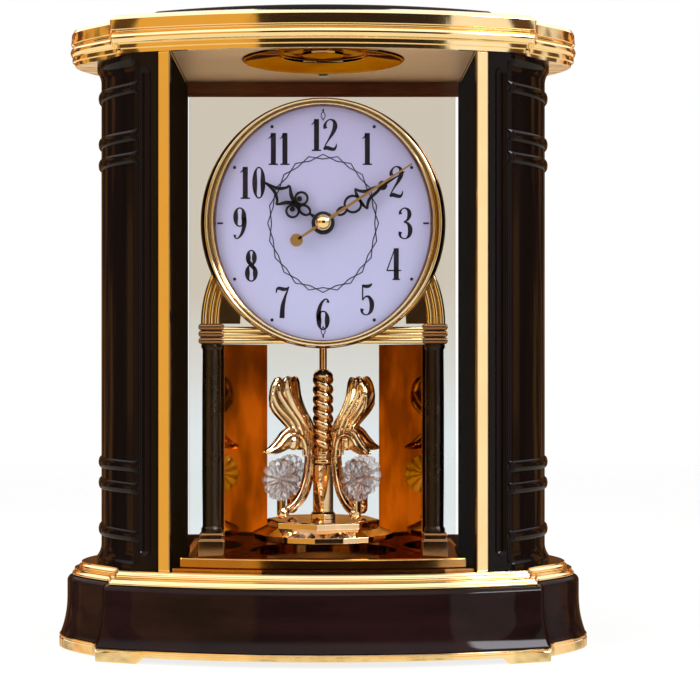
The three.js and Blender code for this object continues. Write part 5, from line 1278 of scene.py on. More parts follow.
SIX_TAIL = [
    (-1.75, 3.6, 1.5), (-1.7, 6.6, 1.6), (-0.7, 9.9, 1.1), (0.9, 11.6, 0.5), (1.8, 11, 0.7),
    (1.75, 10.2, 1.2),
]
STROKES = {
    "0": [],
    "1": [
        [(0.15, 0.1, STEM), (0.15, 11.85, STEM)], [(-1.6, 0.2, HAIR), (1.9, 0.2, HAIR)],
        [(-1.75, 9.7, 0.3), (-0.9, 10.4, 0.5), (-0.1, 11.7, 0.9)],
    ],
    "2": [
        [(-1.7, 8.3, 1.5), (-1.95, 9.4, 1.2), (-1.3, 10.9, 0.6), (0.1, 11.65, 0.5),
         (1.5, 10.9, 1.2), (1.85, 9.1, 1.75), (1.1, 6.9, 1.4), (-0.4, 4.4, 0.7), (-1.7, 2.2, 0.45),
         (-2.3, 0.5, 0.4)],
        [(-2.4, 0.6, 0.9), (-1.3, 1.15, 1.5), (0.2, 0.75, 1.4), (1.4, 0.6, 1.2), (2.1, 1.3, 0.7),
         (2.4, 2.6, 0.3)],
    ],
    "3": [
        [(-1.7, 9.3, 1.3), (-1.8, 10.4, 0.8), (-0.5, 11.6, 0.45), (1.1, 11, 1.1), (1.6, 9.2, 1.6),
         (0.9, 7.3, 0.9), (-0.5, 6.5, 0.4)],
        [(-0.5, 6.4, 0.4), (1, 5.9, 1), (1.85, 4, 1.75), (1.6, 1.7, 1.4), (0.3, 0.3, 0.5),
         (-1.3, 0.6, 0.6), (-1.95, 1.7, 1), (-1.75, 2.8, 1.4)],
    ],
    "4": [
        [(0.9, 0.1, STEM), (0.9, 11.8, STEM)], [(0.4, 11.7, 0.4), (-2.5, 3.7, 0.45)],
        [(-2.7, 3.5, 0.5), (2.7, 3.5, 0.5)], [(-0.5, 0.2, HAIR), (2.3, 0.2, HAIR)],
    ],
    "5": [
        [(-1.6, 11.1, 1), (-0.4, 10.8, 1.3), (0.9, 11, 1.2), (1.9, 11.8, 0.5)],
        [(-1.6, 11.4, HAIR), (-1.6, 5.6, HAIR)],
        [(-1.6, 5.6, 0.45), (-0.6, 6.9, 0.6), (0.8, 6.8, 1.1), (1.8, 4.6, 1.75), (1.5, 1.8, 1.4),
         (0.2, 0.3, 0.5), (-1.2, 0.5, 0.6), (-1.9, 1.5, 1), (-1.7, 2.5, 1.4)],
    ],
    "6": [SIX_TAIL],
    "7": [
        [(-2.3, 9.4, 0.3), (-2.1, 10.8, 0.8), (-1.2, 11.2, 1.3), (0.4, 10.8, 1.4),
         (1.8, 11.1, 0.9), (2.4, 11.8, 0.4)],
        [(2.2, 11.2, 0.5), (1.1, 8.4, 0.9), (0.1, 4.6, 1.6), (-0.2, 0.1, 1.9)],
    ],
    "8": [[(-1.2, 8, 0.9), (0, 6.3, 1.7), (1.3, 4.4, 0.9)]],
    "9": [[(-x, NUMERAL_HEIGHT - z, width) for x, z, width in SIX_TAIL]],
}
BOWLS = {
    "0": [(5.95, (2.45, 5.95))],
    "6": [(3.65, (2.45, 3.65))],
    "8": [(8.95, (2.05, 2.95)), (3.2, (2.4, 3.2))],
    "9": [(NUMERAL_HEIGHT - 3.65, (2.45, 3.65))],
}
numerals = Drawing(DIAL_Y - INK, DIAL_Y)
for number, (x, z) in enumerate(NUMERAL_PLACES):
    word = str(number or 12)
    for i, digit in enumerate(word):
        shift = (i - (len(word) - 1) / 2) * (ELEVEN_STEP if word == "11" else DIGIT_STEP)
        numerals.at((x + shift, DIAL_Z + z - NUMERAL_HEIGHT / 2))
        for stroke in STROKES[digit]:
            numerals.pen(stroke)
        for bowl_z, radii in BOWLS.get(digit, []):
            numerals.ring(0, bowl_z, radii, BOWL, HAIR, 40)
for side in (1, -1):
    numerals.at((0, DIAL_Z + side * SPADE_REACH), 0 if side > 0 else math.pi)
    numerals.ring(0, -1.5, (0.9, 1.4), 0.3, 0.3)
    numerals.pen([(0, 1.2, 0.05), (0, 0.3, 0.7), (0, -0.3, 0.05)])
    numerals.pen([(0, -2.8, 0.7), (0, -3.5, 0.15)])
    numerals.at((0, DIAL_Z)).pen([(-side * reach, 0, 0.7) for reach in BAR_REACH])


def matt_lacquer(name, light, dark, speck_size, gloss, metal=0.0):
    """Thin matt lacquer or ink, faintly specked."""
    finish = Finish(name)
    speck = finish.cloud(speck_size, 3)
    lowest, spread, level = gloss
    return finish.surface({
        "Base Color": finish.blend(speck, dark, light),
        "Metallic": metal,
        "Roughness": speck * spread + lowest,
        "Specular IOR Level": level,
        "Normal": finish.relief(speck, 0.01),
    })


ink = matt_lacquer("dial_ink", (0.015, 0.01, 0.018), (0.004, 0.003, 0.006), 1.2, (0.35, 0.3, 0.2))
numerals.piece("printed_numerals", ink, "case", "dial_face")

dots = Former("hour_dots")
hours = dots.size("Hours", 12)
circle = dots.add("GeometryNodeMeshCircle", {}, {"Vertices": hours, "Radius": 1.0})
wide, high = [radius * MM for radius in DOT_RADII]
oval = dots.moved(circle, turn=(math.pi / 2, 0, 0), scale=dots.size("Reach", (wide, high, high)))
dot = dots.add("GeometryNodeMeshCylinder", {}, {
    "Vertices": 16, "Radius": dots.size("Dot", 0.00062), "Depth": dots.size("Ink", 0.00014),
})
third = dots.remainder(3.0)
quarter = dots.add("ShaderNodeMath", {"operation": "LESS_THAN"}, {0: third, 1: 0.5})
kept = dots.add("GeometryNodeDeleteGeometry", {}, {"Geometry": oval, "Selection": quarter})
laid = dots.placed(kept, dots.moved(dot, turn=(math.pi / 2, 0, 0)))
dots.piece(dots.moved(laid, (0, DIAL_Y * MM, DIAL_Z * MM)), ink, "case", "dial_face")

rings = Former("interlaced_ring")
count = rings.size("Corners", 24)
corners = rings.add("GeometryNodeCurvePrimitiveCircle", {}, {"Resolution": count, "Radius": 1.0})
swing = rings.size("Swing", 0.036)
odd = rings.remainder(2.0)
pen = rings.size("Pen", 0.00019)
reach = rings.size("Reach", (RING_RADII[0] * MM, RING_RADII[1] * MM, 1.0))
position = rings.add("GeometryNodeInputPosition")
lines = []
for way in (1, -1):
    share = (odd - 0.5) * swing * (2 * way) + 1
    values = {0: position, "Scale": share}
    here = rings.add("ShaderNodeVectorMath", {"operation": "SCALE"}, values)
    woven = rings.add("GeometryNodeSetPosition", {}, {"Geometry": corners, "Position": here})
    lines.append(rings.swept(rings.moved(woven, scale=reach), 6, pen))
place = (0, (DIAL_Y - 0.02) * MM, DIAL_Z * MM)
flat = rings.moved(rings.joined(*lines), place, (math.pi / 2, 0, 0))
rings.piece(flat, ink, "case", "dial_face")

OPENING = (39.8, 43.35)
BEZEL_OUTER = (45.45, 46.55)
bezel_line = eased([
    (1, -30.5), (1, -33.7), (0.95, -34.4), (0.9, -34.5), (0.8, -36.5), (0.7, -37.4), (0.58, -37.4),
    (0.47, -36.8), (0.43, -35.6), (0.36, -35.4), (0.3, -35.9), (0.2, -35.9), (0.1, -34.9),
    (0.05, -34.6), (0.03, -33.9), (0, -33.4), (0, -32.3), (0.33, -32.3), (0.33, -30.5),
], 0.28, True)
bezel_rings = []
for i in range(144):
    angle = 2 * math.pi * i / 144
    ring = []
    for share, y in bezel_line:
        a, b = [near + (far - near) * share for near, far in zip(OPENING, BEZEL_OUTER)]
        ring.append((a * math.cos(angle), y, DIAL_Z + b * math.sin(angle)))
    bezel_rings.append(ring)
bezel_painted_light = Finish("bezel_gilt")
# Painted light: the crest and the inner lip get a pale painted highlight, and the rest of the bezel
# a dark brown painted shade mottled by the rubbed clouds. Both stand in for the bands that the gilt
# reflects.
depth = bezel_painted_light.along("Y")
crest = bezel_painted_light.between(depth, -36.9 * MM, -37.3 * MM)
lip = bezel_painted_light.between(depth, -35.3 * MM, -35.7 * MM) - bezel_painted_light.between(depth, -35.9 * MM, -36.1 * MM)
rubbed = bezel_painted_light.cloud(6, 3)
painted_shade_tone = bezel_painted_light.blend(rubbed, (0.36, 0.16, 0.055), (0.16, 0.065, 0.025))
bezel_painted_light.surface({
    "Base Color": bezel_painted_light.blend(crest + lip, painted_shade_tone, (1, 0.82, 0.5)),
    "Metallic": 1.0,
    "Roughness": rubbed * 0.08 + 0.04,
    "Normal": bezel_painted_light.relief(rubbed, 0.02),
})
bezel = Blank().rings(bezel_rings, loop=True)
bezel.piece("oval_bezel", bezel_painted_light.material, "case", "gold_plate", "dial_bezel", crease=55)

# Hands: stamped from thin brass and lacquered black, with open loops and a pierced spade each. The
# second hand keeps its brass colour, and a gilt dome covers the hub.

HOUR_TURN = math.radians(304.8)
MINUTE_TURN = math.radians(58)
SECOND_TURN = math.radians(56.5)
HOUR_DEPTH = (-34.4, -33.9)
MINUTE_DEPTH = (-35.5, -35)
SECOND_DEPTH = (-36.6, -36.1)
HUB_RADIUS = 3
HUB_REACH = 36.9
HUB_RISE = 2.5
CENTRE = (0, DIAL_Z)

black = matt_lacquer(
    "hand_black", (0.012, 0.009, 0.01), (0.004, 0.003, 0.004), 0.5, (0.25, 0.25, 0.25),
)
brass = matt_lacquer(
    "hand_brass", (0.34, 0.19, 0.06), (0.22, 0.11, 0.03), 0.5, (0.25, 0.25, 0.25), 0.3,
)

hour = Drawing(*HOUR_DEPTH).at(CENTRE, HOUR_TURN)
hour.pen([(0, 3.6, 1.5), (0, 5, 1.1), (0, 6.1, 0.9)])
hour.ring(0, 8.3, (2.1, 2.6), 1, 0.85)
hour.pen([(0, 10.5, 1.2), (0, 12, 1.5), (0, 14, 1.1)])
for side in (-1, 1):
    hour.ring(side * 2.9, 11.8, (2.7, 2.7), 0.95, 0.85)
    hour.dot(side * 2.3, 12.3, 1)
    hour.pen([
        (0, 13, 1.3), (side * 1.7, 15.6, 1.4), (side * 4.1, 18, 0.8), (side * 3, 18.6, 1),
        (side * 1.5, 20.2, 1.2), (side * 0.6, 22.2, 1.1), (side * 0.1, 26.4, 0.4),
    ])
hour.piece("hour_hand_blade", black, "hour", "hand_black", "hour_hand")

minute = Drawing(*MINUTE_DEPTH).at(CENTRE, MINUTE_TURN)
minute.pen([(0, 3.2, 1.5), (0, 5, 0.9), (0, 6.4, 0.7)])
minute.ring(0, 8.1, (1.7, 2.3), 0.95, 0.8)
minute.pen([(0, 9.9, 0.8), (0, 10.6, 0.9)])
minute.ring(0, 13, (3.5, 3.5), 0.95, 0.9)
for side in (-1, 1):
    minute.pen([
        (0, 15.9, 1.2), (side * 1.9, 16, 1.2), (side * 4.3, 16.6, 0.6), (side * 3, 17.5, 1.1),
        (side * 1.6, 19.4, 1.2), (side * 0.9, 22.9, 1.2), (side * 0.4, 24.6, 1),
    ])
minute.dot(0, 26, 1.75)
minute.pen([(0, 27.4, 1.1), (0, 30, 0.75), (0, 35.6, 0.3)])
minute.piece("minute_hand_blade", black, "minute", "hand_black", "minute_hand")

second = Drawing(*SECOND_DEPTH).at(CENTRE, SECOND_TURN)
second.pen([(0, -11, 0.9), (0, 0, 1.1), (0, 18, 0.95), (0, 39.3, 0.6)], 8)
second.dot(0, -11.8, 2.4)
second.piece("second_hand_blade", brass, "second", "hand_brass", "second_hand")

for hand, finish, slot, hub in (
    ("hour", black, "hand_black", [(4.3, 33.95), (4.3, 34.5), (3.9, 34.7)]),
    ("minute", black, "hand_black", [(3.9, 35.05), (3.9, 35.6), (3.5, 35.8)]),
    ("second", brass, "hand_brass", [(2, 36.1), (2, 36.6)]),
):
    hub = on_axis([(0.01, hub[0][1]), *hub, (0.01, hub[-1][1])], 40, 0.15)
    hub.piece(f"{hand}_hub", finish, hand, slot)
rise = [math.pi / 2 * i / 12 for i in range(12)]
dome = [(HUB_RADIUS * math.cos(a), HUB_REACH + HUB_RISE * math.sin(a)) for a in rise]
dome = on_axis([(0.01, HUB_REACH), *dome, (0.01, HUB_REACH + HUB_RISE)], 40, 0.0)
dome.piece("hub_dome", gold, "second", "gold_plate", "hub_cap")

# Pendulum: a faceted plate, a six-sided column, a two-strand twisted column and the rod, cast and
# turned in brass and plated. They screw together and turn as one under the drive.

PENDULUM_TURN = math.radians(-51.5)
PLATE_BOTTOM = 41.8
PLATE_RIM = 44.4
PLATE_SHOULDER = 47
PLATE_TOP = 49.5
PLATE_RADIUS = 27.2
TIER_RADIUS = 21.8
HEX_RADIUS = 4.5
HEX_LEAD = math.radians(22)
HEX_TOP = 70.3
COLLAR_TOP = 75.4
TWIST_TOP = 105
TWIST_LEAD = 7.6
TWIST_START = 0.6
LAY_RADIUS = 2.15
STRAND_RADIUS = 1.9
DOME_TOP = 107
ROD_RADIUS = 1.45
ROD_TOP = 118.1


def facets(radius, z, odd=None, sides=16, lead=0.0):
    """A ring of corners about the pendulum's axis; odd is the radius of every other one."""
    ring = []
    for i in range(sides):
        angle = PENDULUM_TURN + lead + 2 * math.pi * i / sides
        reach = odd if odd and i % 2 else radius
        ring.append((reach * math.cos(angle), PENDULUM_Y + reach * math.sin(angle), z))
    return ring


brass_cast = plated("pendulum_gilt", (0.95, 0.71, 0.45), (0.58, 0.35, 0.17), 0.02, 0.08, 0.015)
octagon_middle = TIER_RADIUS * math.cos(math.pi / 8)
plate = Blank().rings([
    facets(PLATE_RADIUS - 0.8, PLATE_BOTTOM),
    facets(PLATE_RADIUS, PLATE_BOTTOM + 0.6),
    facets(PLATE_RADIUS, PLATE_RIM),
    facets(TIER_RADIUS, PLATE_SHOULDER, octagon_middle),
    facets(TIER_RADIUS, PLATE_TOP - 0.5, octagon_middle),
    facets(TIER_RADIUS - 0.5, PLATE_TOP, octagon_middle - 0.5),
    facets(8, PLATE_TOP),
])
plate.piece(
    "faceted_plate", brass_cast, "pendulum", "gold_plate", "pendulum_plate", crease=8, edge=0.12,
)
stem = Blank().rings([
    facets(HEX_RADIUS + swell, z, None, 6, HEX_LEAD)
    for swell, z in ((0.9, PLATE_TOP), (0.9, PLATE_TOP + 2), (0, PLATE_TOP + 2.8), (0, HEX_TOP))
])
stem.piece(
    "six_sided_column", brass_cast, "pendulum", "gold_plate", "hex_column", crease=20, edge=0.18,
)

collar = [
    (0.01, 0), (4.1, 0), (5, 0.8), (5, 1.9), (4.2, 2.3), (3.7, 2.8), (3.7, 3.6), (4.3, 4),
    (4.3, COLLAR_TOP - HEX_TOP), (0.01, COLLAR_TOP - HEX_TOP),
]
shoulder = [
    (0.01, -1.2), (3.6, -1.2), (3.9, -0.3), (3.2, 0.9), (2.05, DOME_TOP - TWIST_TOP),
    (0.01, DOME_TOP - TWIST_TOP),
]
twist = Former("twisted_column")
strand_height = TWIST_TOP - COLLAR_TOP - 1
strand = twist.add("GeometryNodeCurveSpiral", {}, {
    "Resolution": twist.size("Steps per turn", 28),
    "Height": twist.size("Height", strand_height * MM),
    "Rotations": twist.size("Turns", strand_height / TWIST_LEAD),
    "Start Radius": twist.size("Lay radius", LAY_RADIUS * MM),
    "End Radius": LAY_RADIUS * MM,
})
thread = twist.swept(strand, 16, twist.size("Strand radius", STRAND_RADIUS * MM))
other = twist.moved(thread, turn=(0, 0, math.pi))
place = (0, PENDULUM_Y * MM, (COLLAR_TOP + 0.2) * MM)
pair = twist.moved(twist.joined(thread, other), place, (0, 0, TWIST_START))
core = [(0.01, HEX_TOP + 1), (2.6, HEX_TOP + 1), (2.6, DOME_TOP - 1), (0.01, DOME_TOP - 1)]
core = Blank().rings(turned(core, 24, 0, PENDULUM_Y))
core.rings(turned(collar, 40, 0, PENDULUM_Y, HEX_TOP, 0.3))
core.rings(turned(shoulder, 40, 0, PENDULUM_Y, TWIST_TOP, 0.3))
whole = twist.joined(pair, twist.given(core.object("twist_core")))
twist.piece(whole, brass_cast, "pendulum", "gold_plate", "twist_column", crease=45)

rod = [
    (0.01, DOME_TOP - 0.5), (ROD_RADIUS, DOME_TOP - 0.5), (ROD_RADIUS, ROD_TOP - 3),
    (2.3, ROD_TOP - 2.5), (2.3, ROD_TOP), (0.01, ROD_TOP),
]
rod = Blank().rings(turned(rod, 32, 0, PENDULUM_Y, ease=0.2))
rod.piece("pendulum_rod_bar", brass_cast, "pendulum", "gold_plate", "pendulum_rod")

# Swans: four alike, each cast in one with its wing, neck, stem and foot, and plated. Each foot
# carries a small square peg, on which a clear cut-glass flower is cemented.

WING = [
    (5.6, 82), (6.4, 85.2), (8.6, 88.2), (11.8, 91.4), (13.9, 95), (15, 98.9), (15.7, 102.2),
    (17.1, 104), (18.6, 103.8), (19.8, 102.7), (21, 104), (22.6, 103.8), (24.2, 101.8), (25.3, 99),
    (25.6, 96), (25.1, 93), (23, 90.3), (20.1, 87.7), (17, 84.9), (14.8, 82), (10, 80),
]
HEAD = [
    (7, 79), (8.6, 82.6), (12, 84.4), (16, 84.8), (19.4, 83.5), (22, 80.8), (24.4, 78.4),
    (27.8, 76), (25.2, 75.4), (21.8, 75.6), (18.6, 76.6), (16, 77.4), (13, 76.6), (10, 76.8),
]
STEM_LINE = [
    (8.2, 82.8, 1.3), (7.2, 78, 1.5), (7.3, 72, 1.35), (8.2, 65.5, 1.35), (10.8, 59.4, 1.35),
    (14.4, 55.4, 1.35), (18, 53.4, 1.5),
]
FOOT_PLACE = (19.4, 52.4)
CRYSTAL_PLACE = (20.2, 65.4)
PEG_BOTTOM = 53
PEG_TOP = 57.6
PEG_HALF = 1.3
CASTING_GRAIN = 0.26


class Casting(Blank):
    """Bars and leaves in the plane of x and z, run together like a casting."""

    def bar(self, stations, flat=1.0, lift=0.0, steps=6, sides=14):
        line = smooth_line(stations, steps)
        tip = [(0.0, 1.0), (0.4, 0.92), (0.8, 0.6), (0.98, 0.2)]
        rings = []
        for i, ((x, z, radius), way) in enumerate(zip(line, directions(line))):
            slices = tip if i == len(line) - 1 else tip[:1]
            if i == 0:
                slices = [(-ahead, share) for ahead, share in reversed(tip)]
            for ahead, share in slices:
                ring = []
                for j in range(sides):
                    angle = 2 * math.pi * j / sides
                    side = radius * share * math.cos(angle)
                    ring.append((
                        x + way.x * radius * ahead - way.y * side,
                        lift + radius * flat * share * math.sin(angle),
                        z + way.y * radius * ahead + way.x * side,
                    ))
                rings.append(ring)
        return self.rings(rings)

    def leaf(self, outline, half, round_off):
        """A plate with rounded edges along a smooth closed outline."""
        loop = smooth_line([*outline, outline[0]], 4)[:-1]
        rings = []
        for rise, inset in ((-1, 1), (-0.6, 0.25), (0, 0), (0.6, 0.25), (1, 1)):
            rings.append([(x, rise * half, z) for x, z in set_in(loop, inset * round_off)])
        return self.rings(rings)


swan = Casting().leaf(WING, 0.75, 0.35).leaf(HEAD, 0.85, 0.4)
swan.bar([
    (7.2, 83.5, 0.9), (10.4, 88, 1.35), (14.6, 93.6, 1.65), (17.2, 99, 1.45), (17.6, 102.2, 1.15),
], 0.85)
swan.bar([(24.4, 97.5, 0.9), (23.6, 100.8, 1.25), (22, 102.9, 1)], 0.95)
for side in (-1, 1):
    for ridge in (
        [(10.6, 82.4, 0.45), (12.7, 86.9, 0.6), (15.6, 90.4, 0.62), (19, 94.4, 0.6),
         (21.2, 97.6, 0.55), (21.8, 101, 0.4)],
        [(13.6, 83.6, 0.4), (15.9, 87.2, 0.55), (19.4, 90.4, 0.6), (22.6, 93.6, 0.55),
         (24.6, 97.4, 0.5)],
        [(16.2, 84.4, 0.35), (19.8, 87.7, 0.45), (22.8, 90.5, 0.5), (24.9, 93.4, 0.4)],
    ):
        swan.bar(ridge, 1.1, side * 0.8)
    swan.bar([
        (9, 74, 0.4), (9.2, 77.4, 0.55), (10.6, 80.4, 0.62), (13.4, 82, 0.6), (16.8, 82, 0.5),
        (19.4, 80.4, 0.5), (21.6, 78.2, 0.5), (26.2, 76.2, 0.35),
    ], 1.0, side * 0.95)
    swan.bar([
        (8.6, 82.6, 0.5), (12, 84.2, 0.6), (16, 84.5, 0.6), (19.2, 83.3, 0.6), (22, 80.6, 0.55),
        (24.6, 78.2, 0.5), (27.4, 76.2, 0.3),
    ], 0.8, side * 0.7)
    for offset in (-1.05, 1.05):
        rim = []
        for x, z, _ in STEM_LINE[1:]:
            lean = Vector((x - CRYSTAL_PLACE[0], z - CRYSTAL_PLACE[1])).normalized()
            rim.append((x + lean.x * offset, z + lean.y * offset, 0.36))
        swan.bar(rim, 1.0, side * 0.75)
swan.bar([(14.4, 78.4, 2.2), (14.3, 79.6, 2.4)], 0.75)
swan.bar(STEM_LINE, 0.72)
swan.bar([(FOOT_PLACE[0], FOOT_PLACE[1], 2.3), (FOOT_PLACE[0], FOOT_PLACE[1] + 0.3, 2.3)])
square = [(x * PEG_HALF, y * PEG_HALF) for x, y in ((-1, -1), (1, -1), (1, 1), (-1, 1))]
swan.rings([[(x + CRYSTAL_PLACE[0], y, z) for x, y in square] for z in (PEG_BOTTOM, PEG_TOP)])
casting = swan.object("swan_casting")
run_in = casting.modifiers.new("Run together", "REMESH")
run_in.mode = "VOXEL"
run_in.voxel_size = CASTING_GRAIN * MM
fettled = casting.modifiers.new("Fettled", "SMOOTH")
fettled.iterations = 3
settled(casting)


def hollows(mesh):
    """Writes how deep each corner of a mesh lies among its neighbours, as an attribute."""
    near = [[] for _ in mesh.vertices]
    for edge in mesh.edges:
        first, last = edge.vertices
        near[first].append(last)
        near[last].append(first)
    depth = []
    for corner in mesh.vertices:
        rise = sum((mesh.vertices[i].co - corner.co).dot(corner.normal) for i in near[corner.index])
        depth.append(rise / len(near[corner.index]) / (CASTING_GRAIN * MM))
    for _ in range(3):
        depth = [
            (depth[i] + sum(depth[j] for j in others)) / (1 + len(others))
            for i, others in enumerate(near)
        ]
    mesh.attributes.new("hollow", "FLOAT", "POINT").data.foreach_set("value", depth)


hollows(casting.data)
swan_gilt = Finish("swan_gilt")
hollow = swan_gilt.add("ShaderNodeAttribute", {"attribute_name": "hollow"})["Fac"]
rubbed = swan_gilt.cloud(5, 3)
raised_tone = swan_gilt.blend(rubbed, (1, 0.8, 0.55), (0.8, 0.54, 0.3))
# Painted shade: where the casting lies hollow between its ridges the base colour turns deep brown,
# standing in for the shade in its creases.
deep = swan_gilt.between(hollow, 0.0, 0.07)
swan_gilt.surface({
    "Base Color": swan_gilt.blend(deep, raised_tone, (0.16, 0.07, 0.03)),
    "Metallic": 1.0,
    "Roughness": rubbed * 0.06 + 0.02,
    "Normal": swan_gilt.relief(swan_gilt.cloud(3, 2), 0.015),
})


def four_arms(name, made):
    """The same piece on each of the pendulum's four arms."""
    arms = Former(name)
    count = arms.size("Arms", 4)
    points = arms.add("GeometryNodeMeshLine", {}, {"Count": count, "Offset": (0, 0, 0)})
    number = arms.add("GeometryNodeInputIndex")
    turn = number * arms.size("Step", math.pi / 2) + arms.size("First arm", PENDULUM_TURN)
    laid = arms.placed(points, arms.given(made), arms.about_z(turn))
    return arms, arms.moved(laid, (0, PENDULUM_Y * MM, 0))


swans, laid = four_arms("swans", casting)
swans.piece(
    laid, swan_gilt.material, "pendulum", "gold_plate", "swan_1", "swan_2", "swan_3", "swan_4",
    crease=60,
)

RAYS = 12
RIDGE_HALF = 0.24
CRYSTAL_ROWS = (
    ((0.01, 2.5), (0.01, 2.5)), ((1.6, 2.5), (1.4, 2.2)), ((6.6, 2.35), (6.2, 1.25)),
    ((7.6, 2), (7, 0.9)), ((8, 1.5), (7.3, 0.5)),
)
cut_glass = Finish("cut_glass")
haze = cut_glass.cloud(3, 3)
clear = cut_glass.add("ShaderNodeBsdfGlass", {}, {
    "Color": (0.98, 0.965, 0.97), "Roughness": 0.0, "IOR": 1.52,
    "Normal": cut_glass.relief(haze, 0.004),
})
bare = cut_glass.add("ShaderNodeBsdfTransparent", {}, {"Color": (1, 0.975, 0.98)})
shaded = cut_glass.add("ShaderNodeBsdfTransparent", {}, {"Color": (0.5, 0.42, 0.4)})
groove = cut_glass.add("ShaderNodeAttribute", {"attribute_name": "groove"})["Fac"]
in_groove = cut_glass.between(groove, 0.4, 0.7)
through = cut_glass.add("ShaderNodeMixShader", {}, {0: in_groove, 1: bare, 2: shaded})
whole = cut_glass.add("ShaderNodeMixShader", {}, {0: 0.6, 1: clear, 2: through})
crystal_material = cut_glass.shown(whole)
middle_x, middle_z = CRYSTAL_PLACE
rings = []
for side, half in ((-1, CRYSTAL_ROWS), (1, CRYSTAL_ROWS[::-1])):
    for ridge, valley in half:
        steps = ((-0.5, valley), (-RIDGE_HALF, ridge), (RIDGE_HALF, ridge))
        ring = []
        for i in range(RAYS):
            for step, (radius, thick) in steps:
                angle = 2 * math.pi * (i + step) / RAYS - math.pi / 2
                x, z = middle_x + radius * math.cos(angle), middle_z + radius * math.sin(angle)
                ring.append((x, side * thick, z))
        rings.append(ring)
cut = Blank().rings(rings).object("crystal_blank")
in_valley = []
for corner in cut.data.vertices:
    x, _, z = corner.co / MM
    turn = (math.atan2(z - middle_z, x - middle_x) + math.pi / 2) * RAYS / (2 * math.pi)
    in_valley.append(1.0 if abs(turn % 1 - 0.5) < 0.1 else 0.0)
cut.data.attributes.new("groove", "FLOAT", "POINT").data.foreach_set("value", in_valley)
crystals, laid = four_arms("cut_crystals", cut)
crystals.piece(
    laid, crystal_material, "pendulum", "cut_crystal",
    "crystal_1", "crystal_2", "crystal_3", "crystal_4", crease=4,
)

# Floor and studio: a plain pale floor that fades into white, and three large soft boxes. The world
# is white where the camera looks, also through glass, and a lamplit room in the reflections.

FLOOR_RADIUS = 1400
FLOOR_WHITE_SHARE = 0.82
FLOOR_FADE = (0.5, 1.3)

floor_finish = Finish("studio_floor")
away = floor_finish.add("ShaderNodeVectorMath", {"operation": "LENGTH"}, {0: floor_finish.place})
fade = floor_finish.between(away["Value"], *FLOOR_FADE)
paper = floor_finish.add("ShaderNodeBsdfDiffuse", {}, {"Color": (0.93, 0.93, 0.93)})
white = floor_finish.add("ShaderNodeEmission")
ray = floor_finish.add("ShaderNodeLightPath")
direct = ray["Is Camera Ray"] + ray["Is Transmission Ray"]
values = {0: direct * FLOOR_WHITE_SHARE, 1: paper, 2: white}
lit = floor_finish.add("ShaderNodeMixShader", {}, values)
nothing = floor_finish.add("ShaderNodeBsdfTransparent")
floor = Blank().rings(turned([(FLOOR_RADIUS, -1), (FLOOR_RADIUS, 0)], 96)).object("studio_floor")
floor.data.materials.append(
    floor_finish.shown(floor_finish.add("ShaderNodeMixShader", {}, {0: fade, 1: lit, 2: nothing}))
)
floor.visible_glossy = False

world = bpy.data.worlds.new("studio")
world.use_nodes = True
bpy.context.scene.world = world
sky = Sheet(world.node_tree)
world.node_tree.nodes.clear()
direction = sky.add("ShaderNodeTexCoord")["Generated"]
parts = sky.add("ShaderNodeSeparateXYZ", {}, {0: direction})
seen = sky.add("ShaderNodeLightPath")


def towards(value, start, end):
    """How far a direction lies towards end from start, from 0 to 1."""
    values = {"Value": value, "From Min": start, "From Max": end}
    return sky.add("ShaderNodeMapRange", {"interpolation_type": "SMOOTHSTEP"}, values)


sideways = sky.add("ShaderNodeMath", {"operation": "ABSOLUTE"}, {0: parts["X"]})
around = sky.add("ShaderNodeMath", {"operation": "SINE"}, {0: parts["Y"] * 17})
folded = sky.add("ShaderNodeCombineXYZ", {}, {0: sideways, 1: parts["Y"], 2: parts["Z"]})
blots = sky.add("ShaderNodeTexNoise", {}, {"Vector": folded, "Scale": 6.0, "Detail": 3.0})
side_x, side_y, side_z = parts["X"], parts["Y"], parts["Z"]
dark, cream, lamplight = (0.03, 0.018, 0.012), (1.05, 1, 0.95), (0.8, 0.46, 0.1)
room = sky.blend(towards(side_x, 0.462, 0.478), dark, cream)
room = sky.blend(towards(side_x, -0.235, -0.275), room, lamplight)
behind = sky.blend(towards(blots, 0.44, 0.6), (0.09, 0.035, 0.015), (1, 0.42, 0.1))
room = sky.blend(towards(side_y, 0.1, 0.4), room, behind)
posts = towards(around, 0.3, 0.5) * towards(sideways, 0.55, 0.65)
room = sky.blend(posts, room, (0.1, 0.05, 0.02))
room = sky.blend(towards(side_z, 0.3, 0.42), room, (1.5, 1.45, 1.5))
room = sky.blend(towards(side_z, -0.145, -0.17), room, (1, 0.93, 0.75))
pane_across = towards(side_x, 0.5, 0.53) * towards(side_x, 0.86, 0.83)
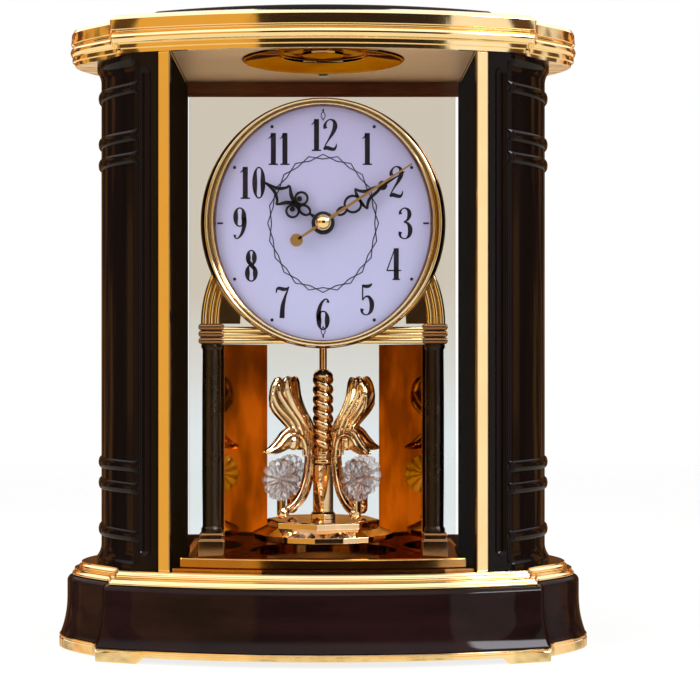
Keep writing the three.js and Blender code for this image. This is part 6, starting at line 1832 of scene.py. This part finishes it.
pane_up = towards(side_z, 0.34, 0.37) * towards(side_z, 0.62, 0.59)
pane = pane_across * pane_up * towards(side_y, 0.0, -0.1)
room = sky.blend(pane, room, (24, 24, 26))
looks = {0: seen["Is Camera Ray"], 1: seen["Is Transmission Ray"]}
straight = sky.add("ShaderNodeMath", {"operation": "MAXIMUM"}, looks)
reflected = sky.blend(seen["Is Glossy Ray"], (0.8, 0.8, 0.8), room)
shown = sky.blend(straight, reflected, (1, 1, 1))
background = sky.add("ShaderNodeBackground", {}, {"Color": shown, "Strength": 1.0})
sky.add("ShaderNodeOutputWorld", {}, {"Surface": background})

LIGHT_AIM = (0, 0, 0.12)
SOFT_BOXES = (
    ("left_box", (-0.85, -0.75, 0.55), 0.5, 1.0, 4.4),
    ("right_box", (0.95, -0.6, 0.5), 0.35, 0.9, 3.4),
    ("top_box", (0, -0.25, 1.1), 1.1, 0.7, 2.6),
)
for name, place, width, height, radiance in SOFT_BOXES:
    light = bpy.data.lights.new(name, "AREA")
    light.shape = "RECTANGLE"
    light.size = width
    light.size_y = height
    light.energy = radiance * math.pi * width * height
    light.color = (1, 0.97, 0.93)
    lamp = bpy.data.objects.new(name, light)
    lamp.location = place
    lamp.visible_glossy = False
    lamp.rotation_euler = (Vector(LIGHT_AIM) - Vector(place)).to_track_quat("-Z", "Y").to_euler()
    bpy.context.scene.collection.objects.link(lamp)

# Camera: level, straight on and close, as in the photograph, with the little shift of its frame.

FOCAL_LENGTH = 93.41
FRAME_SHIFT = (0.0384, 0.00457)
CAMERA_PLACE = (0, -0.7075, 0.1132)

lens = bpy.data.cameras.new("camera")
lens.lens = FOCAL_LENGTH
lens.shift_x, lens.shift_y = FRAME_SHIFT
camera = bpy.data.objects.new("camera", lens)
camera.location = CAMERA_PLACE
camera.rotation_euler = (math.pi / 2, 0, 0)
bpy.context.scene.collection.objects.link(camera)
bpy.context.scene.camera = camera

# Last steps: the colours are shown as they are.

bpy.context.scene.view_settings.view_transform = "Standard"
